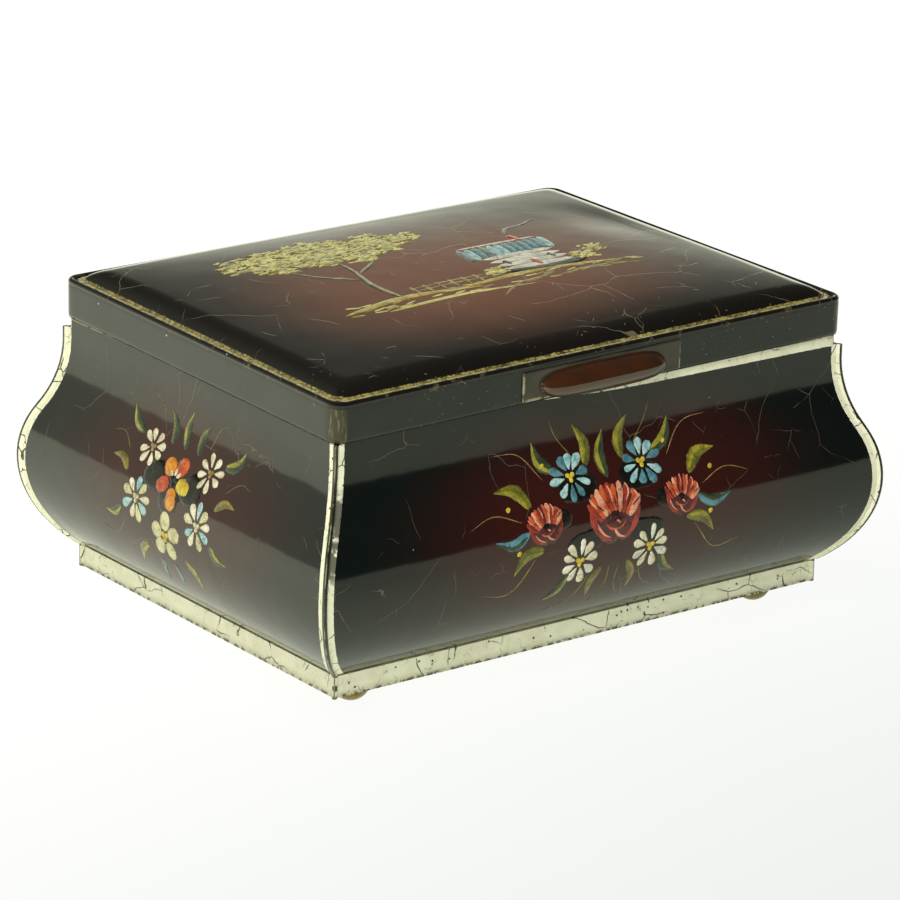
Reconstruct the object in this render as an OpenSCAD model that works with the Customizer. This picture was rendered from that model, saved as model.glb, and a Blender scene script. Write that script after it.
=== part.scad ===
// Bombe biscuit tin with a hinged, pillow-topped lid.
// Millimetres, +Z up. X runs along the long sides, the thumb lift faces -Y and the hinges are on +Y.
// The origin is on the ground, under the middle of the tin.

/* [Body] */
// Width over the two end panels at the neck
neck_w = 198.4; // [160:0.2:250]
// Depth over the front and back panels at the neck
neck_d = 149.4; // [120:0.2:200]
// Height of the straight neck above the cove
neck_h = 6.4; // [5:0.1:14]
// Thickness of the panels and the base sheet
sheet = 0.5; // [0.4:0.05:0.7]

/* [Bulge] */
// How far the widest line stands out beyond the neck
bulge = 11; // [7:0.5:14]
// Radius of the bulge
bulge_r = 36; // [34:0.5:44]
// Radius of the cove between the bulge and the neck
cove_r = 48; // [38:0.5:58]
// Height of the widest line above the plinth
belly_drop = 29.5; // [24:0.5:31]

/* [Plinth] */
// Height of the plinth band
plinth_h = 7; // [4:0.5:12]
// How far the plinth stands in from the neck
plinth_inset = 3.6; // [2:0.2:6]

/* [Corner seams] */
// Width of the folded seam at each upright corner
seam_w = 1.5; // [1:0.1:2.4]
// How far the seam stands proud of the panels
seam_proud = 0.8; // [0.4:0.1:1.2]

/* [Collar] */
// Clearance between the collar's top edge and the lid's underside, at the lid's lowest corner
collar_clear = 1.1; // [0.8:0.1:3]
// How far the collar reaches down inside the panels
collar_lap = 5; // [3:0.5:6]
// Thickness of the collar strip
collar_sheet = 0.4; // [0.3:0.05:0.6]
// Depth of the hem folded in along the collar's top edge
collar_hem = 2.5; // [1.5:0.1:4]

/* [Feet] */
// Diameter of a ball foot
foot_d = 12.5; // [9:0.5:13]
// Diameter of the flat worn on the bottom of a ball foot
foot_flat = 3; // [2:0.5:5]
// Height of a ball foot, from the ground to the base sheet
foot_h = 7; // [6.5:0.5:12]
// Distance of each foot's middle from the plinth's end face
foot_in_x = 14.5; // [10:0.5:30]
// Distance of each foot's middle from the plinth's long face
foot_in_y = 12; // [10:0.5:30]
// Width of the flat flange round the top of a foot
foot_flange = 1.6; // [1:0.1:2]

/* [Lid] */
// Height of the lid's skirt, from its lower edge to the top of the bead
skirt_h = 12.6; // [11:0.2:20]
// Thickness of the lid sheet
lid_sheet = 0.45; // [0.3:0.05:0.6]
// Clearance between the skirt and the neck
lid_gap = 0.4; // [0.3:0.05:0.8]
// Outside radius of the lid's upright corners
lid_corner_r = 5; // [3.5:0.5:8]
// Radius of the bead round the top edge
bead_r = 1; // [0.8:0.1:1.4]
// Width of the sunk line between the bead and the raised panel
groove_w = 2; // [1:0.1:4]
// Depth of the sunk line below the top of the bead
groove_depth = 0.6; // [0.4:0.1:1]
// Radius of the raised panel's upright corners
pillow_corner_r = 4; // [2:0.5:8]
// Radius of the raised panel's rolled edge
roll_r = 9; // [6:0.5:12]
// Height at which the roll starts to lean in, as an angle from upright
roll_lean = 28; // [10:1:40]
// Rise of the crown from the rolled edge to the middle
crown = 1.6; // [0.8:0.1:3]
// How much higher the back edge sits than the front edge, from play and wear
lid_rise_back = 3.6; // [0:0.2:4]
// How much higher the right edge sits than the left edge, from play and wear
lid_rise_right = 3.2; // [0:0.2:4]
// How far the skirt's lowest corner laps down over the neck
lid_lap = 2.8; // [2:0.2:4]

/* [Thumb lift] */
// Width of the thumb lift's plate
lift_w = 62; // [40:1:80]
// Height of the plate's lower edge above the skirt's lower edge
lift_z = 0.6; // [0.2:0.1:1]
// Height of the skirt left bare above the plate, up to the top of the bead
lift_bare = 2.4; // [2:0.1:3]
// Length of the hollow lip
lip_l = 49; // [30:1:60]
// Radius of the hollow lip at its middle
lip_r = 7; // [5:0.2:8]
// How far the lip's own centre lies behind the plate's face
lip_sink = 1.2; // [0.5:0.1:2]
// Radius of the lip's rounded ends
lip_end_r = 3.6; // [2:0.2:5]
// Thickness of the thumb lift's sheet
lift_sheet = 0.6; // [0.4:0.1:0.8]

/* [Hinges] */
// Distance from the middle of the tin to the middle of each hinge
hinge_x = 52; // [30:1:70]
// Length of a hinge along its pin
hinge_l = 24; // [16:1:40]
// Height of the plate of the leaf on the lid
leaf_h = 8; // [5:0.5:9]
// Thickness of the hinge leaves
leaf_sheet = 0.5; // [0.4:0.1:0.8]
// Diameter of the hinge pins
pin_d = 1.6; // [1.2:0.1:2]
// Radial clearance between a pin and its knuckles
pin_play = 0.05; // [0.03:0.01:0.08]
// Wall of the knuckles round the pin
knuckle_wall = 0.8; // [0.6:0.1:1.2]
// Clearance along the pin between two knuckles
knuckle_gap = 0.3; // [0.2:0.05:0.6]
// Thickness of the peened heads on the pins
pin_head = 0.6; // [0.4:0.1:1]

/* [Hidden] */

// Facets of the curves in the preview
$fn = 96;
// A margin that carries a cut clear of the faces it passes through
past = 1;
// Facets of the large, shallow curves in the preview
shallow_fn = 720;

lacquer = [0.16, 0.08, 0.07];
ivory = [0.84, 0.81, 0.66];
gold = [0.72, 0.58, 0.25];
steel = [0.35, 0.33, 0.28];

neck_x = neck_w / 2;
neck_y = neck_d / 2;

// Heights above the ground
plinth_bottom = foot_h;
plinth_top = plinth_bottom + plinth_h;
widest_z = plinth_top + belly_drop;

// Centres of the bulge and cove arcs, as distances outward from the neck's face
bulge_s = bulge - bulge_r;
cove_s = cove_r;
arc_span = bulge_r + cove_r;
arc_run = cove_s - bulge_s;
arc_rise = sqrt(arc_span * arc_span - arc_run * arc_run);
cove_z = widest_z + arc_rise;
neck_top = cove_z + neck_h;

// Where the bulge starts above the plinth: 1 if the plinth stands proud of it, -1 if it overhangs the plinth
bulge_low_s = bulge_s + sqrt(bulge_r * bulge_r - belly_drop * belly_drop);
ledge_side = bulge_low_s > -plinth_inset ? -1 : 1;

// Base sheet and feet
base_x = neck_x - plinth_inset - sheet;
base_y = neck_y - plinth_inset - sheet;
base_flange_h = plinth_h - 2 * sheet;
foot_x = neck_x - plinth_inset - foot_in_x;
foot_y = neck_y - plinth_inset - foot_in_y;

// Lid, in its own frame: the skirt's lower edge is at z = 0
lid_x = neck_x + lid_gap + lid_sheet;
lid_y = neck_y + lid_gap + lid_sheet;
deck_z = skirt_h - groove_depth;
pillow_x = lid_x - 2 * bead_r - groove_w;
pillow_y = lid_y - 2 * bead_r - groove_w;
roll_down = roll_r * sin(roll_lean);
roll_reach = roll_r * cos(roll_lean);
lift_h = skirt_h - lift_z - lift_bare;

// How far the neck's flat faces may spring out before they meet the cut for the skirt
neck_spring = lid_gap / 8;

// Collar
collar_h = deck_z - lid_sheet - lid_lap - collar_clear;
room_r = lid_corner_r - lid_sheet - lid_gap;
collar_r = room_r - sheet;

// How the lid sits on the neck
lid_pitch = atan(lid_rise_back / neck_d);
lid_roll = atan(lid_rise_right / neck_w);
lid_mid_z = neck_top - lid_lap + (lid_rise_back + lid_rise_right) / 2;

// Hinge axis
knuckle_r = pin_d / 2 + knuckle_wall;
hinge_y = lid_y + leaf_sheet + knuckle_r - knuckle_wall / 2;
hinge_z = neck_top - knuckle_wall;
knuckle_l = (hinge_l - 2 * knuckle_gap) / 3;

// ---- Flat shapes ----

// Rectangle with true round corners, centred
module round_rect(hx, hy, r) {
    square([2 * hx, 2 * (hy - r)], center = true);
    square([2 * (hx - r), 2 * hy], center = true);
    for (sx = [-1, 1])
        for (sy = [-1, 1])
            translate([sx * (hx - r), sy * (hy - r)]) circle(r);
}

// Everything inside one wall's face, pushed out by grow: x is outward from the neck's face, y is up
module wall_section(depth, grow) {
    join_z = widest_z + (bulge_r + grow) * arc_rise / arc_span;
    low_z = plinth_top + ledge_side * grow;
    // Plinth
    translate([-depth, plinth_bottom])
        square([depth - plinth_inset + grow, low_z - plinth_bottom]);
    // Bulge
    intersection() {
        translate([bulge_s, widest_z]) circle(bulge_r + grow);
        translate([-depth, low_z]) square([depth + arc_span, join_z - low_z]);
    }
    translate([-depth, low_z]) square([depth + bulge_s, join_z - low_z]);
    // Cove
    difference() {
        translate([-depth, join_z]) square([depth + cove_s, cove_z - join_z]);
        translate([cove_s, cove_z]) circle(cove_r - grow);
    }
    // Neck
    translate([-depth, cove_z]) square([depth + grow, neck_top - cove_z]);
}

// The sheet of one wall
module sheet_section(depth) {
    difference() {
        wall_section(depth, 0);
        wall_section(depth, -sheet);
    }
}

// ---- Walls ----

// A wall whose outward side is +X, from a section drawn outward and up
module along_wall(half, length) {
    translate([half, 0, 0])
        rotate([90, 0, 0])
            linear_extrude(length, center = true) children();
}

// Plan of a wall that faces +X, mitred at 45 degrees and drawn back by inset on each mitre
module mitre_plan(hx, hy, inset) {
    reach = 2 * bulge;
    tip = hx - hy + inset * sqrt(2);
    far = hx + reach;
    polygon([[tip, 0], [far, far - tip], [far, tip - far]]);
}

module mitred_wall(hx, hy, inset) {
    intersection() {
        along_wall(hx, 2 * (hy + 2 * bulge)) sheet_section(hx - 2 * past);
        linear_extrude(neck_top + past) mitre_plan(hx, hy, inset);
    }
}

// Both long or both end faces of the body, as a block that runs straight through
module through_block(half, other, grow) {
    for (turn = [0, 180])
        rotate([0, 0, turn])
            along_wall(half, 2 * (other + 2 * bulge)) wall_section(half, grow);
}

// A folded seam that follows the corner between +X and +Y
module corner_seam() {
    seam_reach = 4 * bulge;
    difference() {
        intersection() {
            through_block(neck_x, neck_y, seam_proud);
            rotate([0, 0, 90]) through_block(neck_y, neck_x, seam_proud);
            translate([neck_x, neck_y, 0])
                rotate([0, 0, 45])
                    translate([-seam_reach / 2, -seam_w / 2, 0])
                        cube([seam_reach, seam_w, neck_top + past]);
        }
        intersection() {
            through_block(neck_x, neck_y, -sheet);
            rotate([0, 0, 90]) through_block(neck_y, neck_x, -sheet);
        }
    }
}

// What the lid's skirt needs clear round the top of the neck
module skirt_room() {
    low = neck_top - lid_lap - lid_gap;
    past_seams = 4 * seam_proud;
    difference() {
        translate([0, 0, low])
            linear_extrude(neck_top - low + past)
                square([2 * (lid_x + past_seams), 2 * (lid_y + past_seams)], center = true);
        translate([0, 0, low - past])
            linear_extrude(neck_top - low + 3 * past)
                round_rect(neck_x + neck_spring, neck_y + neck_spring, room_r);
    }
}

module long_panel(turn) {
    color(lacquer)
        difference() {
            rotate([0, 0, turn]) mitred_wall(neck_y, neck_x, seam_w / 2);
            skirt_room();
        }
}

module end_panel(turn) {
    color(lacquer)
        difference() {
            rotate([0, 0, turn]) {
                mitred_wall(neck_x, neck_y, 0);
                corner_seam();
                mirror([0, 1, 0]) corner_seam();
            }
            skirt_room();
        }
}

// ---- Body parts ----

module front_panel() { long_panel(-90); }
module back_panel() { long_panel(90); }
module left_end_panel() { end_panel(180); }
module right_end_panel() { end_panel(0); }

module base_plate() {
    color(gold)
        translate([0, 0, plinth_bottom])
            difference() {
                linear_extrude(base_flange_h)
                    square([2 * base_x, 2 * base_y], center = true);
                translate([0, 0, sheet])
                    linear_extrude(base_flange_h)
                        square([2 * (base_x - sheet), 2 * (base_y - sheet)], center = true);
            }
}

// A strip round the inside of the neck, with its top edge hemmed inward
module neck_collar() {
    outer_x = neck_x - sheet;
    outer_y = neck_y - sheet;
    low = neck_top - collar_lap;
    high = neck_top + collar_h;
    color(gold)
        difference() {
            translate([0, 0, low])
                linear_extrude(high - low) round_rect(outer_x, outer_y, collar_r);
            translate([0, 0, low - past])
                linear_extrude(high - low + 2 * past)
                    round_rect(outer_x - 2 * collar_sheet, outer_y - 2 * collar_sheet,
                               collar_r - 2 * collar_sheet);
            translate([0, 0, low - past])
                linear_extrude(high - low - collar_hem + past)
                    round_rect(outer_x - collar_sheet, outer_y - collar_sheet, collar_r - collar_sheet);
        }
}

// A hollow pressed ball foot with a worn flat below and a flange under the base sheet
module ball_foot(side_x, side_y) {
    ball_r = foot_d / 2;
    ball_z = sqrt(ball_r * ball_r - foot_flat * foot_flat / 4);
    flange_r = ball_r + foot_flange;
    color(gold)
        translate([side_x * foot_x, side_y * foot_y, 0])
            rotate_extrude() {
                difference() {
                    union() {
                        intersection() {
                            translate([0, ball_z]) circle(ball_r);
                            square([ball_r, min(ball_z, foot_h)]);
                        }
                        translate([0, ball_z]) square([ball_r, foot_h - ball_z]);
                    }
                    intersection() {
                        translate([0, ball_z]) circle(ball_r - sheet);
                        square([ball_r, ball_z]);
                    }
                    translate([-past, ball_z]) square([ball_r - sheet + past, foot_h]);
                }
                translate([ball_r - sheet, foot_h - sheet])
                    square([flange_r - ball_r + sheet, sheet]);
            }
}

module foot_front_left() { ball_foot(-1, -1); }
module foot_front_right() { ball_foot(1, -1); }
module foot_back_left() { ball_foot(-1, 1); }
module foot_back_right() { ball_foot(1, 1); }

// ---- Lid ----

// Places what is drawn in the lid's own frame on the neck
module on_neck() {
    translate([0, 0, lid_mid_z]) rotate([lid_pitch, -lid_roll, 0]) children();
}

// Outline across the raised panel: two rolled edges and a crown tangent to both
module pillow_section(half, grow) {
    edge = half - roll_reach;
    crown_r = (edge * edge + (roll_r + crown) * (roll_r + crown) - roll_r * roll_r) / (2 * crown);
    meet = edge * crown_r / (crown_r - roll_r);
    roll_z = deck_z - roll_down;
    top_z = roll_z + roll_r + crown;
    foot_z = deck_z - lid_sheet - past;
    intersection() {
        union() {
            intersection() {
                translate([0, top_z - crown_r]) circle(crown_r + grow, $fn = shallow_fn);
                translate([-meet, foot_z]) square([2 * meet, 2 * roll_r]);
            }
            for (side = [-1, 1])
                translate([side * edge, roll_z]) circle(roll_r + grow);
        }
        translate([-half, foot_z]) square([2 * half, 3 * roll_r]);
    }
}

// The raised panel as a block, pushed out by grow
module pillow(grow) {
    foot_z = deck_z - lid_sheet - past;
    intersection() {
        rotate([90, 0, 0])
            linear_extrude(2 * pillow_y, center = true) pillow_section(pillow_x, grow);
        rotate([90, 0, 90])
            linear_extrude(2 * pillow_x, center = true) pillow_section(pillow_y, grow);
        translate([0, 0, foot_z])
            linear_extrude(3 * roll_r)
                round_rect(pillow_x + grow, pillow_y + grow, pillow_corner_r + grow);
    }
}

// A round bead that follows the top edge of the skirt
module bead() {
    line_x = lid_x - bead_r;
    line_y = lid_y - bead_r;
    turn_r = lid_corner_r - bead_r;
    for (side = [-1, 1]) {
        translate([0, side * line_y, 0])
            rotate([0, 90, 0]) cylinder(r = bead_r, h = 2 * (line_x - turn_r), center = true);
        translate([side * line_x, 0, 0])
            rotate([90, 0, 0]) cylinder(r = bead_r, h = 2 * (line_y - turn_r), center = true);
    }
    for (corner = [[1, 1, 0], [-1, 1, 90], [-1, -1, 180], [1, -1, 270]])
        translate([corner[0] * (line_x - turn_r), corner[1] * (line_y - turn_r), 0])
            rotate([0, 0, corner[2]])
                rotate_extrude(angle = 90) translate([turn_r, 0]) circle(bead_r);
}

module lid_shell() {
    bead_z = skirt_h - bead_r;
    color(lacquer)
        on_neck()
            difference() {
                union() {
                    linear_extrude(bead_z) round_rect(lid_x, lid_y, lid_corner_r);
                    linear_extrude(deck_z)
                        round_rect(lid_x - bead_r, lid_y - bead_r, lid_corner_r - bead_r);
                    translate([0, 0, bead_z]) bead();
                    pillow(0);
                }
                translate([0, 0, -past])
                    linear_extrude(deck_z - lid_sheet + past)
                        round_rect(lid_x - lid_sheet, lid_y - lid_sheet, lid_corner_r - lid_sheet);
                pillow(-lid_sheet);
            }
}

// Half outline of the thumb lift's hollow lip, to be turned about its long axis
module lip_section(grow) {
    half = lip_l / 2 + grow;
    mid_r = lip_r + grow;
    end_r = lip_end_r + grow;
    end_z = half - end_r;
    body_r = (mid_r * mid_r + end_z * end_z - end_r * end_r) / (2 * (mid_r - end_r));
    meet = end_z * body_r / (body_r - end_r);
    intersection() {
        union() {
            intersection() {
                translate([mid_r - body_r, 0]) circle(body_r, $fn = shallow_fn);
                translate([0, -meet]) square([mid_r, 2 * meet]);
            }
            for (side = [-1, 1])
                translate([0, side * end_z]) circle(end_r);
        }
        translate([0, -half]) square([mid_r, 2 * half]);
    }
}

// The lip as a block turned about its long axis, kept above low and outward of back
module lip_block(grow, low, back) {
    outside = -lid_y - 2 * lip_r;
    intersection() {
        translate([0, -lid_y - lift_sheet + lip_sink, lift_z])
            rotate([0, 90, 0]) rotate_extrude() lip_section(grow);
        translate([-lift_w / 2, outside, low])
            cube([lift_w, back - outside, 2 * lip_r]);
    }
}

// A stamped plate whose lip is hollow and open below
module thumb_lift() {
    color(lacquer)
        on_neck()
            difference() {
                union() {
                    translate([-lift_w / 2, -lid_y - lift_sheet, lift_z])
                        cube([lift_w, lift_sheet, lift_h]);
                    lip_block(0, lift_z, -lid_y);
                }
                lip_block(-lift_sheet, lift_z - past, -lid_y + past);
            }
}

// ---- Hinges ----

// A knuckle round the pin, from x = 0 to its length
module knuckle(length) {
    difference() {
        rotate([0, 90, 0]) cylinder(r = knuckle_r, h = length);
        translate([-past, 0, 0])
            rotate([0, 90, 0]) cylinder(r = pin_d / 2 + pin_play, h = length + 2 * past);
    }
}

// A knuckle and the flat strip that it is curled from, above the pin or below it
module curled_strip(length, reach, side_z) {
    difference() {
        union() {
            knuckle(length);
            translate([0, -reach, side_z > 0 ? knuckle_r - leaf_sheet : -knuckle_r])
                cube([length, reach, leaf_sheet]);
        }
        translate([-past, 0, 0])
            rotate([0, 90, 0]) cylinder(r = pin_d / 2 + pin_play, h = length + 2 * past);
    }
}

module body_hinge_leaf(side) {
    color(steel) {
        translate([side * hinge_x - hinge_l / 2, neck_y, cove_z])
            cube([hinge_l, leaf_sheet, hinge_z - knuckle_r + leaf_sheet - cove_z]);
        for (end = [-1, 1])
            translate([side * hinge_x + end * (hinge_l - knuckle_l) / 2 - knuckle_l / 2, hinge_y, hinge_z])
                curled_strip(knuckle_l, hinge_y - neck_y, -1);
    }
}

module lid_hinge_leaf(side) {
    skirt_low = lid_mid_z + lid_y * sin(lid_pitch) + side * hinge_x * sin(lid_roll);
    strip_z = hinge_z + knuckle_r - leaf_sheet / 2 - skirt_low;
    plate_z = hinge_z + knuckle_r + knuckle_gap - skirt_low;
    color(steel) {
        translate([side * hinge_x - knuckle_l / 2, hinge_y, hinge_z])
            curled_strip(knuckle_l, hinge_y - lid_y, 1);
        on_neck()
            translate([side * hinge_x, lid_y, 0]) {
                translate([-knuckle_l / 2, 0, strip_z])
                    cube([knuckle_l, leaf_sheet, plate_z - strip_z + leaf_sheet]);
                translate([-hinge_l / 2, 0, plate_z])
                    cube([hinge_l, leaf_sheet, leaf_h]);
            }
    }
}

module hinge_pin(side) {
    color(steel)
        translate([side * hinge_x, hinge_y, hinge_z])
            rotate([0, 90, 0]) {
                cylinder(d = pin_d, h = hinge_l, center = true);
                for (end = [-1, 1])
                    translate([0, 0, end * (hinge_l + pin_head) / 2])
                        cylinder(d = pin_d + knuckle_wall, h = pin_head, center = true);
            }
}

module body_hinge_leaf_left() { body_hinge_leaf(-1); }
module body_hinge_leaf_right() { body_hinge_leaf(1); }
module hinge_pin_left() { hinge_pin(-1); }
module hinge_pin_right() { hinge_pin(1); }
module lid_hinge_leaf_left() { lid_hinge_leaf(-1); }
module lid_hinge_leaf_right() { lid_hinge_leaf(1); }

front_panel();
back_panel();
left_end_panel();
right_end_panel();
base_plate();
neck_collar();
foot_front_left();
foot_front_right();
foot_back_left();
foot_back_right();
body_hinge_leaf_left();
body_hinge_leaf_right();
hinge_pin_left();
hinge_pin_right();
lid_shell();
thumb_lift();
lid_hinge_leaf_left();
lid_hinge_leaf_right();
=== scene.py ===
import math
import random

import bpy
import numpy as np
from bpy.props import FloatProperty, FloatVectorProperty, IntProperty, PointerProperty
from mathutils import Matrix, Vector
from mathutils.bvhtree import BVHTree


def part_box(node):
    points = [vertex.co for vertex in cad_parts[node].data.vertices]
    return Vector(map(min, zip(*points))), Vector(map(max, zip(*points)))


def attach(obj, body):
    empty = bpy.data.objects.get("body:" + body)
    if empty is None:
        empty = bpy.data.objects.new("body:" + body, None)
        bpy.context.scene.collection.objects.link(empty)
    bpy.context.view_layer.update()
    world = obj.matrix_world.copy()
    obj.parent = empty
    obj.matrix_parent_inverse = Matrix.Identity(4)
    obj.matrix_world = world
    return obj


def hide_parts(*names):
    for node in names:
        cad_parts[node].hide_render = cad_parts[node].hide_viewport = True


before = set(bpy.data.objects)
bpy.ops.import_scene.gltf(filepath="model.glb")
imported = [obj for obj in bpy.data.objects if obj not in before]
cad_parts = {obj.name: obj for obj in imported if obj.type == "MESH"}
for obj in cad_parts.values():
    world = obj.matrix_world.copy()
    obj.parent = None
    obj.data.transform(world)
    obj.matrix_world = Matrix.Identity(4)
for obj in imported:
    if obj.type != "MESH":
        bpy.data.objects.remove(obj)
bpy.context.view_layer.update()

bl_info = {
    "name": "Bombe Biscuit Tin",
    "version": (1, 0, 0),
    "blender": (4, 5, 0),
    "location": "View3D > Sidebar > Biscuit Tin",
    "description": "Lacquer, painted bouquets, lid scene and studio for a hinged biscuit tin",
    "category": "Object",
}

MM = 0.001
PANELS = {
    "front_panel": ((0, -1, 0), (1, 0, 0)),
    "back_panel": ((0, 1, 0), (-1, 0, 0)),
    "left_end_panel": ((-1, 0, 0), (0, -1, 0)),
    "right_end_panel": ((1, 0, 0), (0, 1, 0)),
}


# ---- Sizes and colours that a user would change ----

def length(name, description, default):
    return FloatProperty(name=name, description=description, default=default, unit="LENGTH", precision=5)


def colour(name, description, default):
    return FloatVectorProperty(name=name, description=description, default=default, size=3,
                               subtype="COLOR", min=0, max=1)


def share(name, description, default):
    return FloatProperty(name=name, description=description, default=default)


class TinBorders(bpy.types.PropertyGroup):
    """Painted borders of the body"""
    seam_half: length("Seam Half Width", "Half the width of the dark fold at each corner", 1.06 * MM)
    long_stripe: length("Long Stripe", "Width of the ivory stripe on the long faces", 2.1 * MM)
    end_stripe: length("End Stripe", "Width of the ivory stripe on the end faces", 2.1 * MM)
    top_band: length("Top Band", "Height of the ivory band along the top of the long faces", 3.4 * MM)
    cove_line: length("Cove Line", "Height of the dark line above the plinth", 1.1 * MM)
    plinth: length("Plinth", "Height of the ivory plinth", 7 * MM)


class TinColours(bpy.types.PropertyGroup):
    """Colours of the lacquer and metal"""
    night: colour("Night", "Lacquer at the edges of the body", (0.0035, 0.0058, 0.0055))
    maroon: colour("Maroon", "Lacquer in the middle of each body face", (0.032, 0.0068, 0.0058))
    lid_edge: colour("Lid Edge", "Lacquer at the edges of the lid", (0.0075, 0.0062, 0.0055))
    lid_middle: colour("Lid Middle", "Lacquer in the middle of the lid", (0.150, 0.042, 0.016))
    skirt: colour("Skirt", "Lacquer on the lid's skirt", (0.0055, 0.0072, 0.0062))
    ivory: colour("Ivory", "Border paint", (0.80, 0.79, 0.61))
    dirt: colour("Dirt", "Cracks and chips in the border paint", (0.020, 0.019, 0.012))
    gold_line: colour("Gold Line", "Line painted round the lid", (0.36, 0.31, 0.085))
    lip: colour("Lip", "Amber lacquer on the thumb lift's lip", (0.046, 0.0135, 0.0045))
    plate: colour("Plate", "Lacquer on the thumb lift's plate", (0.022, 0.020, 0.013))
    brass: colour("Brass", "Gold lacquer on bare tinplate", (0.62, 0.46, 0.17))
    tarnish: colour("Tarnish", "Dark tarnish on bare metal", (0.055, 0.035, 0.012))
    steel: colour("Steel", "Hinge steel", (0.33, 0.31, 0.27))
    feet: colour("Feet", "Worn gold lacquer on the ball feet", (0.20, 0.165, 0.045))


class TinLid(bpy.types.PropertyGroup):
    """Profile of the pressed lid"""
    skirt_height: length("Skirt Height", "From the skirt's lower edge to the top of the bead", 12.6 * MM)
    sheet: length("Sheet", "Thickness of the lid sheet", 0.45 * MM)
    corner: length("Corner Radius", "Outside radius of the upright corners", 5 * MM)
    bead: length("Bead Radius", "Radius of the bead round the top edge", 1 * MM)
    line_width: length("Line Width", "Width of the sunk gold line", 2 * MM)
    line_depth: length("Line Depth", "Depth of the gold line below the bead", 0.6 * MM)
    crease: length("Crease", "Depth of the fine creases beside the bead and the gold line", 0.16 * MM)
    roll: length("Roll Radius", "Radius of the raised panel's rolled edge", 9 * MM)
    roll_lean: FloatProperty(name="Roll Lean", description="Angle from upright at which the roll starts",
                             default=math.radians(28), subtype="ANGLE")
    roll_share: share("Roll Share", "Part of the full roll's height that is kept", 0.70)
    shoulder: length("Shoulder", "Height of the soft shoulder inside the rolled edge", 1.75 * MM)
    shoulder_run: length("Shoulder Run", "How far in the shoulder reaches", 15 * MM)
    crown: length("Crown", "Rise from the shoulder to the middle", 1.15 * MM)
    hip_blend: length("Hip Blend", "How softly two rolled edges meet at a corner", 3 * MM)
    lift_width: length("Lift Width", "Width of the thumb lift's plate", 62 * MM)
    lift_height: length("Lift Height", "Height of the thumb lift's plate", 9.6 * MM)
    lift_low: length("Lift Low", "From the skirt's lower edge up to the plate", 0.6 * MM)
    lift_sheet: length("Lift Sheet", "Thickness of the thumb lift", 0.6 * MM)
    lip_length: length("Lip Length", "Length of the thumb lift's lip", 49 * MM)
    lip_radius: length("Lip Radius", "Radius of the lip's round bar", 6.95 * MM)
    lip_rise: length("Lip Rise", "Half height of the lip's round bar", 5.0 * MM)
    lip_sink: length("Lip Sink", "How far the bar's axis lies behind the skirt's face", 0.6 * MM)
    waviness: length("Waviness", "Height of the sheet's gentle unevenness", 0.06 * MM)
    dent: length("Dent", "Depth of the old dent near the right edge", 0.55 * MM)


class TinPaint(bpy.types.PropertyGroup):
    """Relief of the brushwork"""
    relief: length("Relief", "Height of a brush stroke in the middle", 0.07 * MM)
    sink: length("Sink", "How far a stroke's rim lies under the lacquer", 0.03 * MM)
    layer: length("Layer", "Extra height of each stroke laid over another", 0.025 * MM)
    seed: IntProperty(name="Seed", description="Chooses the small differences between strokes", default=7)


class TinStudio(bpy.types.PropertyGroup):
    """Camera and light"""
    azimuth: FloatProperty(name="Azimuth", description="Where the camera stands round the tin",
                           default=math.radians(-37.443), subtype="ANGLE")
    elevation: FloatProperty(name="Elevation", description="Height of the camera as an angle",
                             default=math.radians(17.953), subtype="ANGLE")
    roll: FloatProperty(name="Roll", description="Lean of the camera", default=math.radians(1.456),
                        subtype="ANGLE")
    distance: length("Distance", "From the camera to the point that it looks at", 1.3058)
    lens: FloatProperty(name="Lens", description="Focal length in millimetres", default=160)
    aim: FloatVectorProperty(name="Aim", description="Point that the camera looks at", size=3,
                             default=(5.1 * MM, 6.6 * MM, 46.6 * MM), subtype="TRANSLATION", precision=4)
    table_glow: share("Table Glow", "Light given off by the light table", 1.0)
    back_glow: share("Back Glow", "Brightness of the paper behind the tin", 1.0)
    room: share("Room", "Brightness of the dim room in front of the tin", 0.035)
    lamp: FloatProperty(name="Lamp", description="Power of the soft lamp", default=14, unit="POWER")
    fill: FloatProperty(name="Fill", description="Power of the low fill lamp", default=5, unit="POWER")


GROUPS = {
    "tin_borders": TinBorders, "tin_colours": TinColours, "tin_lid": TinLid,
    "tin_paint": TinPaint, "tin_studio": TinStudio,
}


def settings(name):
    return getattr(bpy.context.scene, name)


# ---- Shader trees ----

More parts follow.
